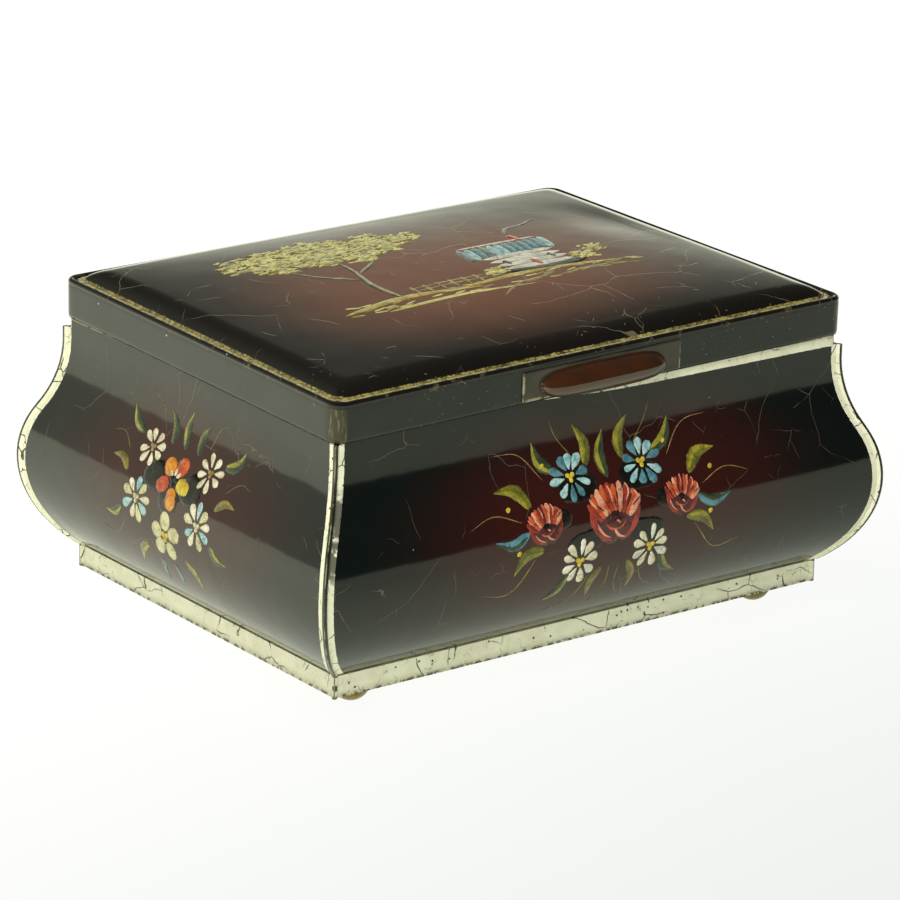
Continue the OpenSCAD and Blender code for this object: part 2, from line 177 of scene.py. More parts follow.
class Tree:
    """Adds nodes to a shader tree. A socket, a number or a colour may stand for any input."""

    def __init__(self, tree):
        self.tree = tree

    def plug(self, socket, value):
        if isinstance(value, bpy.types.NodeSocket):
            self.tree.links.new(value, socket)
        elif socket.type == "RGBA" and len(value) == 3:
            socket.default_value = (*value, 1)
        else:
            socket.default_value = value

    def add(self, kind, inputs=(), **options):
        node = self.tree.nodes.new("ShaderNode" + kind)
        for key, value in options.items():
            setattr(node, key, value)
        for key, value in dict(inputs).items():
            self.plug(node.inputs[key], value)
        return node

    def math(self, operation, *values, clamp=False):
        return self.add("Math", enumerate(values), operation=operation, use_clamp=clamp).outputs[0]

    def vector(self, operation, *values):
        node = self.add("VectorMath", enumerate(values), operation=operation)
        return node.outputs["Value" if operation in ("LENGTH", "DOT_PRODUCT") else "Vector"]

    def step(self, value, low, high):
        """0 below low and 1 above high, or the other way round where low is the larger."""
        inputs = {"Value": value, "From Min": low, "From Max": high}
        return self.add("MapRange", inputs, interpolation_type="SMOOTHSTEP").outputs["Result"]

    def blend(self, factor, first, second):
        node = self.add("Mix", {0: factor, 6: first, 7: second}, data_type="RGBA")
        return node.outputs[2]

    def noise(self, vector, scale, detail=3.0, roughness=0.55):
        inputs = {"Vector": vector, "Scale": scale, "Detail": detail, "Roughness": roughness}
        return self.add("TexNoise", inputs).outputs["Fac"]

    def dot(self, vector, way):
        return self.vector("DOT_PRODUCT", vector, way)

    def plus(self, first, second):
        return self.math("ADD", first, second)

    def minus(self, first, second):
        return self.math("SUBTRACT", first, second)

    def per(self, first, second):
        return self.math("DIVIDE", first, second)

    def scaled(self, value, factor, shift):
        """The value times the factor, plus the shift."""
        return self.math("MULTIPLY_ADD", value, factor, shift)

    def power(self, value, exponent):
        return self.math("POWER", value, exponent)

    def root(self, value):
        return self.math("SQRT", value)

    def size(self, value):
        """The value without its sign."""
        return self.math("ABSOLUTE", value)

    def over(self, value, limit):
        return self.math("GREATER_THAN", value, limit)

    def under(self, value, limit):
        return self.math("LESS_THAN", value, limit)

    def either(self, first, second):
        return self.math("MAXIMUM", first, second)

    def both(self, first, second):
        return self.math("MULTIPLY", first, second)

    def without(self, first, second):
        return self.math("MULTIPLY", first, self.math("SUBTRACT", 1.0, second))

    def place(self, matrix=None):
        """Position in the frame of a matrix, or in the shared frame, and its three parts."""
        where = self.add("TexCoord").outputs["Object"]
        if matrix is not None:
            shifted = self.vector("SUBTRACT", where, tuple(matrix.translation))
            axes = [tuple(axis) for axis in matrix.to_3x3().transposed()]
            parts = [self.vector("DOT_PRODUCT", shifted, axis) for axis in axes]
            where = self.add("CombineXYZ", enumerate(parts)).outputs[0]
        return where, *self.add("SeparateXYZ", {0: where}).outputs

    def use(self, group, **inputs):
        node = self.tree.nodes.new("ShaderNodeGroup")
        node.node_tree = bpy.data.node_groups[group]
        for key, value in inputs.items():
            self.plug(node.inputs[key], value)
        return node.outputs

    def mask(self, group, vector, **inputs):
        """Where the cracks, scratches or flecks of a shared group lie."""
        return self.use(group, Vector=vector, **inputs)["Mask"]


def shader_group(name, inputs, outputs):
    """A group with a Vector input and the inputs and outputs named, and the tree to fill it with."""
    group = bpy.data.node_groups.new(name, "ShaderNodeTree")
    group.interface.new_socket(name="Vector", in_out="INPUT", socket_type="NodeSocketVector")
    for title, value in inputs.items():
        kind = "NodeSocketColor" if isinstance(value, tuple) else "NodeSocketFloat"
        socket = group.interface.new_socket(name=title, in_out="INPUT", socket_type=kind)
        socket.default_value = (*value, 1) if isinstance(value, tuple) else value
    for title in outputs:
        kind = "NodeSocketColor" if title == "Colour" else "NodeSocketFloat"
        group.interface.new_socket(name=title, in_out="OUTPUT", socket_type=kind)
    inlet = group.nodes.new("NodeGroupInput").outputs
    outlet = group.nodes.new("NodeGroupOutput").inputs
    return Tree(group), inlet, outlet


def crazing_group():
    """Crack lines round cells of one size, broken up so that only some are seen."""
    t, inlet, outlet = shader_group("Crazing", {"Cell": 0.02, "Width": 0.0002, "Cover": 0.5}, ["Mask"])
    scale = t.per(1.0, inlet["Cell"])
    where = t.vector("SCALE", inlet["Vector"])
    t.plug(where.node.inputs["Scale"], scale)
    wobble = t.add("TexNoise", {"Vector": where, "Scale": 1.7, "Detail": 3.0}).outputs["Color"]
    bent = t.vector("MULTIPLY_ADD", wobble, (0.30, 0.30, 0.30), where)
    edges = t.add("TexVoronoi", {"Vector": bent, "Scale": 1.0}, feature="DISTANCE_TO_EDGE")
    cells = edges.outputs["Distance"]
    width = t.both(inlet["Width"], scale)
    line = t.step(cells, width, t.both(width, 0.25))
    patch = t.noise(where, 0.9, 2.0)
    edge = t.minus(1.0, inlet["Cover"])
    seen = t.step(patch, t.scaled(edge, 0.4, 0.28), t.scaled(edge, 0.4, 0.36))
    t.plug(outlet["Mask"], t.both(line, seen))


def scratches_group():
    """Short straight scratches that all lie at one turn about Z."""
    inputs = {"Turn": 0.0, "Width": 0.0002, "Spacing": 0.004, "Stretch": 30.0, "Cover": 0.5}
    t, inlet, outlet = shader_group("Scratches", inputs, ["Mask"])
    bend = t.add("TexNoise", {"Vector": inlet["Vector"], "Scale": 40.0, "Detail": 1.0}).outputs["Color"]
    bent = t.vector("MULTIPLY_ADD", bend, (0.004, 0.004, 0.004), inlet["Vector"])
    rotate = t.add("VectorRotate", {"Vector": bent, "Angle": inlet["Turn"]}, rotation_type="Z_AXIS")
    turned = rotate.outputs[0]
    scale = t.per(1.0, inlet["Spacing"])
    squeeze = t.add("CombineXYZ", {0: t.per(scale, inlet["Stretch"]), 1: scale, 2: scale}).outputs[0]
    cells = t.add("TexVoronoi", {"Vector": t.vector("MULTIPLY", turned, squeeze), "Scale": 1.0})
    radius = t.both(inlet["Width"], scale)
    mark = t.step(cells.outputs["Distance"], radius, t.both(radius, 0.3))
    chance = t.add("SeparateColor", {0: cells.outputs["Color"]}).outputs[0]
    t.plug(outlet["Mask"], t.both(mark, t.under(chance, inlet["Cover"])))


def flecks_group():
    """Small ragged chips and specks scattered over the surface."""
    t, inlet, outlet = shader_group("Flecks", {"Size": 0.0004, "Spacing": 0.004, "Cover": 0.4}, ["Mask"])
    rough = t.add("TexNoise", {"Vector": inlet["Vector"], "Scale": 900.0, "Detail": 2.0}).outputs["Color"]
    bent = t.vector("MULTIPLY_ADD", rough, (0.0009, 0.0009, 0.0009), inlet["Vector"])
    scale = t.per(1.0, inlet["Spacing"])
    cells = t.add("TexVoronoi", {"Vector": bent, "Scale": scale})
    red, green, _ = t.add("SeparateColor", {0: cells.outputs["Color"]}).outputs
    radius = t.both(t.both(inlet["Size"], scale), t.scaled(green, 0.8, 0.3))
    mark = t.step(cells.outputs["Distance"], radius, t.both(radius, 0.6))
    t.plug(outlet["Mask"], t.both(mark, t.under(red, inlet["Cover"])))


def rim_group():
    """How far a point lies in from a rounded rectangle's outline."""
    t, inlet, outlet = shader_group("Rim", {"Half X": 0.1, "Half Y": 0.075, "Radius": 0.005}, ["Inset"])
    x, y, _ = t.add("SeparateXYZ", {0: inlet["Vector"]}).outputs
    past = []
    for part, half in ((x, inlet["Half X"]), (y, inlet["Half Y"])):
        past.append(t.minus(t.size(part), t.minus(half, inlet["Radius"])))
    outside = [t.either(part, 0.0) for part in past]
    reach = t.root(t.plus(t.both(outside[0], outside[0]), t.both(outside[1], outside[1])))
    inside = t.math("MINIMUM", t.either(*past), 0.0)
    t.plug(outlet["Inset"], t.minus(inlet["Radius"], t.plus(reach, inside)))


def brushwork_group():
    """Two tones of one paint drawn out in streaks, with the ridges that the bristles leave."""
    inputs = {"Light": (0.8, 0.8, 0.8), "Dark": (0.4, 0.4, 0.4), "Age": 0.5}
    t, inlet, outlet = shader_group("Brushwork", inputs, ["Colour", "Height"])
    broad = t.noise(inlet["Vector"], 260.0, 2.0)
    streak = t.noise(t.vector("MULTIPLY", inlet["Vector"], (1.0, 0.35, 1.0)), 1900.0, 2.0)
    tone = t.step(t.plus(t.both(broad, 0.65), t.both(streak, 0.35)), 0.36, 0.62)
    mixed = t.blend(tone, inlet["Dark"], inlet["Light"])
    cracks = t.mask("Crazing", inlet["Vector"], Cell=0.0035, Width=0.00012, Cover=0.45)
    lost = t.mask("Flecks", inlet["Vector"], Size=0.00035, Spacing=0.0016, Cover=0.3)
    worn = t.both(t.either(cracks, lost), inlet["Age"])
    t.plug(outlet["Colour"], t.blend(worn, mixed, (0.012, 0.010, 0.006)))
    t.plug(outlet["Height"], t.minus(streak, worn))


def metal_age_group():
    """Tarnish that gathers in patches, with fine rubbing."""
    t, inlet, outlet = shader_group("Metal Age", {"Amount": 0.5}, ["Tarnish", "Roughness", "Height"])
    patches = t.noise(inlet["Vector"], 120.0, 5.0, 0.62)
    grain = t.noise(inlet["Vector"], 2600.0, 2.0)
    low = t.scaled(inlet["Amount"], -0.3, 0.68)
    tarnish = t.step(t.scaled(grain, 0.12, patches), low, t.plus(low, 0.26))
    rubs = t.mask("Scratches", inlet["Vector"], Turn=0.5, Width=0.00012, Spacing=0.0014, Cover=0.7)
    t.plug(outlet["Tarnish"], tarnish)
    t.plug(outlet["Roughness"], t.scaled(tarnish, 0.3, t.scaled(rubs, 0.15, 0.22)))
    t.plug(outlet["Height"], t.minus(t.both(grain, 0.4), rubs))


def material(name, **constants):
    """A material with a Principled shader, whose constant values are set on its own sockets."""
    made = bpy.data.materials.new(name)
    made.use_nodes = True
    tree = made.node_tree
    tree.nodes.clear()
    t = Tree(tree)
    shader = t.add("BsdfPrincipled")
    output = t.add("OutputMaterial")
    tree.links.new(shader.outputs[0], output.inputs[0])
    for key, value in constants.items():
        t.plug(shader.inputs[key.replace("_", " ")], value)
    return made, t, shader.inputs


def bump(t, height, distance, strength=1.0):
    return t.add("Bump", {"Height": height, "Distance": distance, "Strength": strength}).outputs[0]


GLOSS = {"IOR": 1.5, "Specular_Tint": (0.97, 1.0, 0.88)}


def body_lacquer():
    """Lacquer of the four walls: maroon fading to night, ivory borders, dark folds at the corners."""
    border, tones = settings("tin_borders"), settings("tin_colours")
    made, t, shader = material("body_lacquer", **GLOSS)
    where, x, y, z = t.place()
    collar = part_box("neck_collar")[1]
    neck_x, neck_y = collar.x + 0.5 * MM, collar.y + 0.5 * MM
    bottom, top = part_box("front_panel")[0].z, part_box("front_panel")[1].z
    plinth_top = bottom + border.plinth
    past_x = t.minus(t.size(x), neck_x)
    past_y = t.minus(t.size(y), neck_y)
    lead = t.minus(past_y, past_x)
    on_long = t.over(lead, 0.0)
    ragged = t.scaled(t.noise(where, 700.0, 3.0), 0.5 * MM, -0.25 * MM)
    from_corner = t.plus(t.size(lead), ragged)

    # Lacquer in the field of each face
    share_x = t.per(t.size(x), neck_x)
    share_y = t.per(t.size(y), neck_y)
    along = t.plus(t.both(share_x, on_long), t.without(share_y, on_long))
    middle = (bottom + top) / 2
    up = t.per(t.minus(z, middle), (top - bottom) / 2)
    spread = t.root(t.plus(t.power(along, 2.0), t.both(t.both(up, up), 0.8)))
    cloud = t.scaled(t.noise(where, 22.0, 3.0), 0.3, -0.15)
    warm = t.step(t.plus(spread, cloud), 1.02, 0.34)
    field = t.blend(warm, tones.night, tones.maroon)
    mottle = t.noise(where, 420.0, 4.0)
    field = t.blend(t.both(t.step(mottle, 0.5, 0.75), 0.25), field, (0.004, 0.003, 0.003))

    # Long pale hair cracks and rubbed scratches
    hair = t.mask("Crazing", where, Cell=0.026, Width=0.00011, Cover=0.40)
    lines = t.mask("Crazing", t.vector("ADD", where, (0.31, 0.12, 0.2)), Cell=0.015, Width=0.00008,
                  Cover=0.30)
    upright = t.vector("MULTIPLY", where, (1.0, 1.0, 0.25))
    rubs = t.mask("Scratches", upright, Turn=0.8, Width=0.00013, Spacing=0.0048, Cover=0.5)
    marks = t.either(t.either(hair, lines), t.both(rubs, 0.6))
    field = t.blend(t.both(marks, 0.6), field, (0.15, 0.105, 0.07))
    chips = t.mask("Flecks", where, Size=0.00042, Spacing=0.011, Cover=0.35)
    field = t.blend(chips, field, (0.35, 0.33, 0.26))

    # Ivory borders, cracked and speckled
    stripe = t.plus(t.both(on_long, border.long_stripe - border.end_stripe),
                    border.seam_half + border.end_stripe)
    ivory = t.under(from_corner, stripe)
    height = t.plus(z, t.both(ragged, 0.8))
    shown = t.step(x, -70 * MM, 20 * MM)
    band = t.both(t.over(height, t.scaled(shown, -border.top_band, top)), on_long)
    plinth = t.under(z, plinth_top + 0.05 * MM)
    ivory = t.either(t.either(ivory, band), plinth)
    stains = t.step(t.noise(where, 150.0, 5.0, 0.65), 0.34, 0.66)
    paint = t.blend(t.both(stains, 0.35), tones.ivory, (0.52, 0.50, 0.30))
    # The ivory is darker towards the bottom edge of the plinth
    darker_low = t.step(z, bottom + 3.2 * MM, bottom)
    paint = t.blend(t.both(darker_low, 0.45), paint, (0.22, 0.20, 0.10))
    cracks = t.mask("Crazing", where, Cell=0.0135, Width=0.00024, Cover=0.50)
    fine = t.mask("Crazing", where, Cell=0.0040, Width=0.00010, Cover=0.36)
    specks = t.mask("Flecks", where, Size=0.00050, Spacing=0.0022, Cover=0.38)
    big = t.mask("Flecks", where, Size=0.0013, Spacing=0.014, Cover=0.3)
    edge_chips = t.both(t.step(t.noise(where, 420.0, 4.0), 0.46, 0.56),
                        t.step(z, bottom + 1.5 * MM, bottom + 0.2 * MM))
    lost = t.either(t.either(cracks, t.both(fine, 0.6)), t.either(t.either(specks, big), edge_chips))
    near_left = t.both(t.under(x, 0.0), t.under(y, 0.0))
    rubbed = t.both(t.step(z, 46 * MM, 53 * MM), t.step(z, 77 * MM, 71 * MM))
    rubbed = t.both(t.both(rubbed, on_long),
                    t.both(near_left, t.step(t.noise(where, 330.0, 4.0), 0.66, 0.50)))
    lost = t.either(lost, t.both(rubbed, 0.85))
    paint = t.blend(lost, paint, tones.dirt)

    # The dark line above the plinth and the dark fold at each corner, with a painted highlight in broken
    # patches along the fold's ridge
    cove = t.both(t.over(z, plinth_top), t.step(z, plinth_top + border.cove_line, plinth_top))
    olive = t.blend(t.step(t.noise(where, 300.0, 4.0), 0.35, 0.6), (0.07, 0.064, 0.028), (0.38, 0.36, 0.20))
    slim = t.scaled(plinth, -0.75 * border.seam_half, border.seam_half)
    fold = t.under(t.size(lead), slim)
    # A thin painted highlight along the fold's ridge, in broken patches
    ridge_highlight = t.both(t.step(t.size(lead), 0.35 * MM, 0.1 * MM), t.step(t.noise(where, 260.0, 4.0), 0.42, 0.60))
    fold_and_ridge_highlight = t.blend(t.both(ridge_highlight, 0.8), (0.014, 0.014, 0.009), (0.34, 0.32, 0.20))
    lip = t.both(t.over(z, top - 0.45 * MM), t.step(t.noise(where, 300.0, 3.0), 0.36, 0.5))

    skin = t.blend(ivory, field, paint)
    skin = t.blend(t.without(cove, fold), skin, olive)
    skin = t.blend(fold, skin, fold_and_ridge_highlight)
    skin = t.blend(t.both(lip, 0.75), skin, (0.30, 0.27, 0.15))

    # Inside, the sheet is bare tinplate with a thin gold lacquer
    normal = t.add("NewGeometry").outputs["True Normal"]
    nx, ny, _ = t.add("SeparateXYZ", {0: normal}).outputs
    inward = t.plus(t.both(nx, x), t.both(ny, y))
    inside = t.both(t.under(inward, -0.004), t.over(t.size(lead), 1.4 * MM))
    age = t.use("Metal Age", Vector=where, Amount=0.35)
    gold = t.blend(age["Tarnish"], tones.brass, tones.tarnish)

    wavy = t.noise(where, 34.0, 2.0)
    pores = t.noise(where, 1500.0, 2.0)
    relief = t.minus(t.both(pores, 0.05), t.both(t.either(t.both(ivory, lost), t.both(marks, 0.4)), 0.8))
    smooth = t.scaled(t.noise(where, 90.0, 4.0), 0.10, 0.045)
    rough = t.plus(smooth, t.both(ivory, 0.18))
    t.plug(shader["Base Color"], t.blend(inside, skin, gold))
    t.plug(shader["Roughness"], t.plus(t.without(rough, inside), t.both(inside, age["Roughness"])))
    t.plug(shader["Metallic"], t.without(inside, age["Tarnish"]))
    gentle = bump(t, wavy, 1.0 * MM, 0.35)
    node = t.add("Bump", {"Height": relief, "Distance": 0.08 * MM, "Strength": 1.0, "Normal": gentle})
    t.plug(shader["Normal"], node.outputs[0])
    return made


def lid_lacquer(form):
    """Lacquer of the lid: a gold line inside the bead, a dark rolled edge and a warm middle."""
    shape, tones = settings("tin_lid"), settings("tin_colours")
    made, t, shader = material("lid_lacquer", **GLOSS)
    half_x, half_y = form.half_x, form.half_y
    where, x, y, z = t.place(form.matrix)
    sides = {"Half X": half_x, "Half Y": half_y}
    inset = t.use("Rim", Vector=where, **sides, Radius=shape.corner)["Inset"]
    bead_in, line_in = 2 * shape.bead, 2 * shape.bead + shape.line_width
    above = t.over(z, shape.skirt_height - 2 * shape.bead)

    spread_x = t.per(t.size(t.minus(x, 4 * MM)), 0.92 * half_x)
    spread_y = t.per(t.size(t.plus(y, 2 * MM)), 0.90 * half_y)
    spread = t.root(t.plus(t.power(spread_x, 2.6), t.power(spread_y, 2.6)))
    cloud = t.scaled(t.noise(where, 20.0, 3.0), 0.3, -0.15)
    warm = t.step(t.plus(spread, cloud), 1.0, 0.2)
    field = t.blend(warm, tones.lid_edge, tones.lid_middle)
    mottle = t.noise(where, 480.0, 4.0)
    field = t.blend(t.both(t.step(mottle, 0.5, 0.78), 0.3), field, (0.006, 0.004, 0.003))
    skirt = t.blend(t.step(t.noise(where, 60.0, 4.0), 0.35, 0.7), tones.skirt, (0.011, 0.012, 0.009))
    field = t.blend(above, skirt, field)

    # Hair cracks, scratches on the top and a scrubbed patch along the near rolled edge
    hair = t.mask("Crazing", where, Cell=0.030, Width=0.00014, Cover=0.45)
    lines = t.mask("Crazing", t.vector("ADD", where, (0.2, 0.4, 0.1)), Cell=0.013, Width=0.00011,
                  Cover=0.26)
    cuts = t.mask("Scratches", where, Turn=-0.35, Width=0.00030, Spacing=0.0062, Stretch=60.0, Cover=0.5)
    cross = t.mask("Scratches", where, Turn=0.75, Width=0.00024, Spacing=0.0060, Stretch=45.0, Cover=0.4)
    marks = t.either(t.either(hair, lines), t.either(cuts, t.both(cross, 0.8)))
    near = t.both(t.step(y, -half_y + 32 * MM, -half_y + 12 * MM),
                  t.step(t.noise(where, 45.0, 3.0), 0.36, 0.52))
    scrub = t.either(
        t.mask("Scratches", where, Turn=-0.9, Width=0.00022, Spacing=0.0019, Stretch=9.0, Cover=0.75),
        t.mask("Scratches", where, Turn=0.5, Width=0.00020, Spacing=0.0021, Stretch=11.0, Cover=0.75))
    marks = t.either(t.both(t.both(marks, 0.6), above), t.both(scrub, near))
    field = t.blend(t.both(marks, 0.65), field, (0.30, 0.25, 0.15))
    chips = t.mask("Flecks", where, Size=0.00050, Spacing=0.0085, Cover=0.32)
    field = t.blend(chips, field, (0.55, 0.52, 0.42))

    # Gold line, crackled, between two dark creases
    ragged = t.scaled(t.noise(where, 900.0, 3.0), 0.6 * MM, -0.3 * MM)
    round_inset = t.use("Rim", Vector=where, **sides, Radius=8 * MM)["Inset"]
    inset_worn = t.plus(round_inset, ragged)
    gold = t.both(t.step(inset_worn, bead_in + 0.1 * MM, bead_in + 0.3 * MM),
                  t.step(inset_worn, line_in + 0.55 * MM, line_in + 0.30 * MM))
    gold = t.both(gold, above)
    tone = t.step(t.noise(where, 330.0, 5.0, 0.7), 0.34, 0.62)
    gilt = t.blend(tone, (0.10, 0.082, 0.022), tones.gold_line)
    bright = t.step(t.noise(where, 1100.0, 4.0, 0.7), 0.55, 0.68)
    # The outer half of the gold line, on the flat, is painted lighter than the inner half on the rising
    # slope: painted light and shade
    painted_light_outer_half = t.step(inset_worn, line_in - 0.2 * MM, line_in - 0.7 * MM)
    gilt = t.blend(t.both(t.either(bright, painted_light_outer_half), 0.75), gilt, (0.58, 0.53, 0.30))
    flaked = t.either(t.mask("Crazing", where, Cell=0.0022, Width=0.00022, Cover=0.8),
                      t.step(t.noise(where, 140.0, 5.0, 0.7), 0.60, 0.68))
    gilt = t.blend(t.both(flaked, 0.85), gilt, (0.020, 0.016, 0.007))
    skin = t.blend(gold, field, gilt)

    # Bronze rubbed through on the upright corners, its vertical light streaks painted highlights, and rubbed
    # patches here and there along the bead
    corner = t.both(t.step(t.size(x), half_x - shape.corner, half_x - 0.55 * shape.corner),
                    t.step(t.size(y), half_y - shape.corner, half_y - 0.55 * shape.corner))
    corner = t.without(corner, above)
    upright = t.vector("MULTIPLY", where, (1.0, 1.0, 0.12))
    # Vertical light streaks on the corners: painted highlights over the worn bronze
    streaks = t.step(t.noise(upright, 1500.0, 3.0, 0.7), 0.50, 0.68)
    bronze_and_highlights = t.blend(t.both(streaks, 0.6), (0.034, 0.030, 0.010), (0.26, 0.24, 0.13))
    skin = t.blend(t.both(corner, 0.85), skin, bronze_and_highlights)
    on_bead = t.both(t.step(inset, bead_in, bead_in - 0.4 * MM), above)
    rubbed = t.both(on_bead, t.step(t.noise(where, 210.0, 5.0, 0.65), 0.58, 0.68))
    skin = t.blend(t.both(rubbed, 0.4), skin, (0.16, 0.14, 0.08))

    pores = t.noise(where, 1500.0, 2.0)
    relief = t.minus(t.both(pores, 0.05), t.plus(t.both(marks, 0.4), t.both(t.both(gold, flaked), 0.7)))
    rough = t.scaled(t.noise(where, 70.0, 4.0), 0.12, 0.07)
    rough = t.plus(rough, t.plus(t.both(gold, 0.15), t.both(marks, 0.15)))
    t.plug(shader["Base Color"], skin)
    t.plug(shader["Roughness"], rough)
    gentle = bump(t, t.noise(where, 26.0, 2.0), 1.0 * MM, 0.25)
    node = t.add("Bump", {"Height": relief, "Distance": 0.08 * MM, "Strength": 1.0, "Normal": gentle})
    t.plug(shader["Normal"], node.outputs[0])
    return made


def lift_lacquer(name, light, dark, gloss, size):
    """Lacquer of the thumb lift's plate or lip, rubbed bright at the edges of a part of the size given."""
    made, t, shader = material(name, IOR=gloss, Specular_Tint=(0.97, 1.0, 0.86))
    where, x, _, z = t.place()
    skin = t.blend(t.step(t.noise(where, 110.0, 4.0), 0.36, 0.72), light, dark)
    ends = t.step(t.size(x), size - 0.8 * MM, size - 0.2 * MM)
    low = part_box("thumb_lift")[0].z
    lower = t.step(z, low + 1.3 * MM, low + 0.5 * MM)
    worn = t.both(t.either(ends, lower), t.step(t.noise(where, 380.0, 4.0), 0.44, 0.58))
    skin = t.blend(t.both(worn, 0.8), skin, (0.36, 0.33, 0.20))
    rubs = t.mask("Scratches", where, Turn=0.15, Width=0.00014, Spacing=0.0022, Stretch=25.0, Cover=0.5)
    specks = t.mask("Flecks", where, Size=0.0003, Spacing=0.005, Cover=0.4)
    skin = t.blend(t.both(t.either(rubs, specks), 0.35), skin, (0.40, 0.34, 0.22))
    t.plug(shader["Base Color"], skin)
    t.plug(shader["Roughness"], t.scaled(t.noise(where, 140.0, 4.0), 0.10, 0.05))
    t.plug(shader["Normal"], bump(t, t.minus(t.noise(where, 240.0, 3.0), t.both(rubs, 0.5)), 0.05 * MM))
    return made


def bare_metal(name, base, amount, relief):
    """Bare or gold-lacquered sheet with tarnish and fine rubbing."""
    tones = settings("tin_colours")
    made, t, shader = material(name)
    where = t.place()[0]
    age = t.use("Metal Age", Vector=where, Amount=amount)
    tint = t.blend(t.step(t.noise(where, 240.0, 3.0), 0.3, 0.7), base, tuple(0.7 * part for part in base))
    t.plug(shader["Base Color"], t.blend(age["Tarnish"], tint, tones.tarnish))
    t.plug(shader["Metallic"], t.scaled(age["Tarnish"], -0.5, 1.0))
    t.plug(shader["Roughness"], age["Roughness"])
    t.plug(shader["Normal"], bump(t, age["Height"], relief))
    return made


PAINTS = {
    "ivory": ((0.72, 0.68, 0.50), (0.46, 0.41, 0.26)),
    "cream": ((0.60, 0.57, 0.33), (0.36, 0.34, 0.16)),
    "sky": ((0.40, 0.58, 0.56), (0.12, 0.31, 0.34)),
    "teal": ((0.10, 0.25, 0.29), (0.03, 0.11, 0.14)),
    "rose": ((0.34, 0.042, 0.024), (0.13, 0.016, 0.012)),
    "blush": ((0.68, 0.34, 0.22), (0.42, 0.12, 0.07)),
    "wine": ((0.085, 0.020, 0.022), (0.030, 0.009, 0.012)),
    "scarlet": ((0.55, 0.105, 0.028), (0.28, 0.038, 0.015)),
    "amber": ((0.66, 0.28, 0.025), (0.44, 0.13, 0.015)),
    "yolk": ((0.62, 0.48, 0.045), (0.38, 0.26, 0.022)),
    "leaf": ((0.17, 0.155, 0.020), (0.060, 0.066, 0.013)),
    "spring": ((0.34, 0.29, 0.034), (0.13, 0.125, 0.018)),
    "moss": ((0.045, 0.070, 0.030), (0.014, 0.028, 0.016)),
    "shade": ((0.0090, 0.0085, 0.0060), (0.0040, 0.0040, 0.0035)),
    "ochre": ((0.30, 0.20, 0.060), (0.14, 0.085, 0.025)),
    "foliage": ((0.70, 0.64, 0.22), (0.42, 0.39, 0.12)),
    "olive": ((0.30, 0.29, 0.11), (0.13, 0.13, 0.055)),
    "bark": ((0.36, 0.32, 0.13), (0.15, 0.125, 0.050)),
    "ground": ((0.52, 0.44, 0.085), (0.30, 0.24, 0.045)),
    "chalk": ((0.78, 0.76, 0.62), (0.44, 0.44, 0.37)),
    "slate": ((0.20, 0.25, 0.23), (0.055, 0.075, 0.075)),
}


def paint(name):
    """Brushed oil paint under the same varnish as the lacquer, in one of the named colours."""
    if "paint_" + name in bpy.data.materials:
        return bpy.data.materials["paint_" + name]
    light, dark = PAINTS[name]
    made, t, shader = material("paint_" + name, **GLOSS)
    where = t.place()[0]
    brushed = t.use("Brushwork", Vector=where, Light=light, Dark=dark, Age=0.6)
    t.plug(shader["Base Color"], brushed["Colour"])
    t.plug(shader["Roughness"], t.scaled(brushed["Height"], 0.12, 0.16))
    t.plug(shader["Normal"], bump(t, brushed["Height"], 0.05 * MM))
    return made


# ---- Meshes ----

def mesh_object(name, points, faces, materials, slots=None, matrix=None):
    """A piece whose points are carried from the matrix's frame to the shared one."""
    mesh = bpy.data.meshes.new(name)
    matrix = matrix or Matrix.Identity(4)
    mesh.from_pydata([matrix @ Vector(p) for p in points], [], faces)
    for made in materials:
        mesh.materials.append(made)
    if slots is not None:
        mesh.polygons.foreach_set("material_index", slots)
    mesh.polygons.foreach_set("use_smooth", [True] * len(mesh.polygons))
    mesh.validate()
    piece = bpy.data.objects.new(name, mesh)
    bpy.context.scene.collection.objects.link(piece)
    return piece


def dress(node, made):
    """Gives a carried-over part its material and smooth shading."""
    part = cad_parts[node]
    part.data.materials.clear()
    part.data.materials.append(made)
    part.data.polygons.foreach_set("use_smooth", [True] * len(part.data.polygons))


class PanelFace:
    """The outside of one body wall, unrolled: u runs along it and v up it from its widest line."""

    def __init__(self, node):
        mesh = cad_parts[node].data
        tree = BVHTree.FromPolygons([v.co for v in mesh.vertices], [p.vertices[:] for p in mesh.polygons])
        out, along = PANELS[node]
        self.out, self.along = np.array(out, float), np.array(along, float)
        low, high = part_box(node)
        far = max(high.x, high.y) * 2
        heights, reaches = [], []
        for z in np.linspace(low.z + 7.4 * MM, high.z - 0.2 * MM, 400):
            hit = tree.ray_cast(Vector(out) * far + Vector((0, 0, z)), -Vector(out))
            if hit[0] is not None:
                heights.append(z)
                reaches.append(hit[0].dot(Vector(out)))
        self.z, self.reach = np.array(heights), np.array(reaches)
        run = np.hypot(np.diff(self.z), np.diff(self.reach))
        self.arc = np.concatenate([[0], np.cumsum(run)])
        self.arc -= self.arc[int(np.argmax(self.reach))]
        self.slope_z, self.slope_out = np.gradient(self.z, self.arc), np.gradient(self.reach, self.arc)

    def at(self, u, v, lift):
        z, reach = np.interp(v, self.arc, self.z), np.interp(v, self.arc, self.reach)
        rise, lean = np.interp(v, self.arc, self.slope_z), np.interp(v, self.arc, self.slope_out)
        size = np.hypot(rise, lean)
        reach, z = reach + lift * rise / size, z - lift * lean / size
        return np.outer(u, self.along) + np.outer(reach, self.out) + np.outer(z, (0, 0, 1))


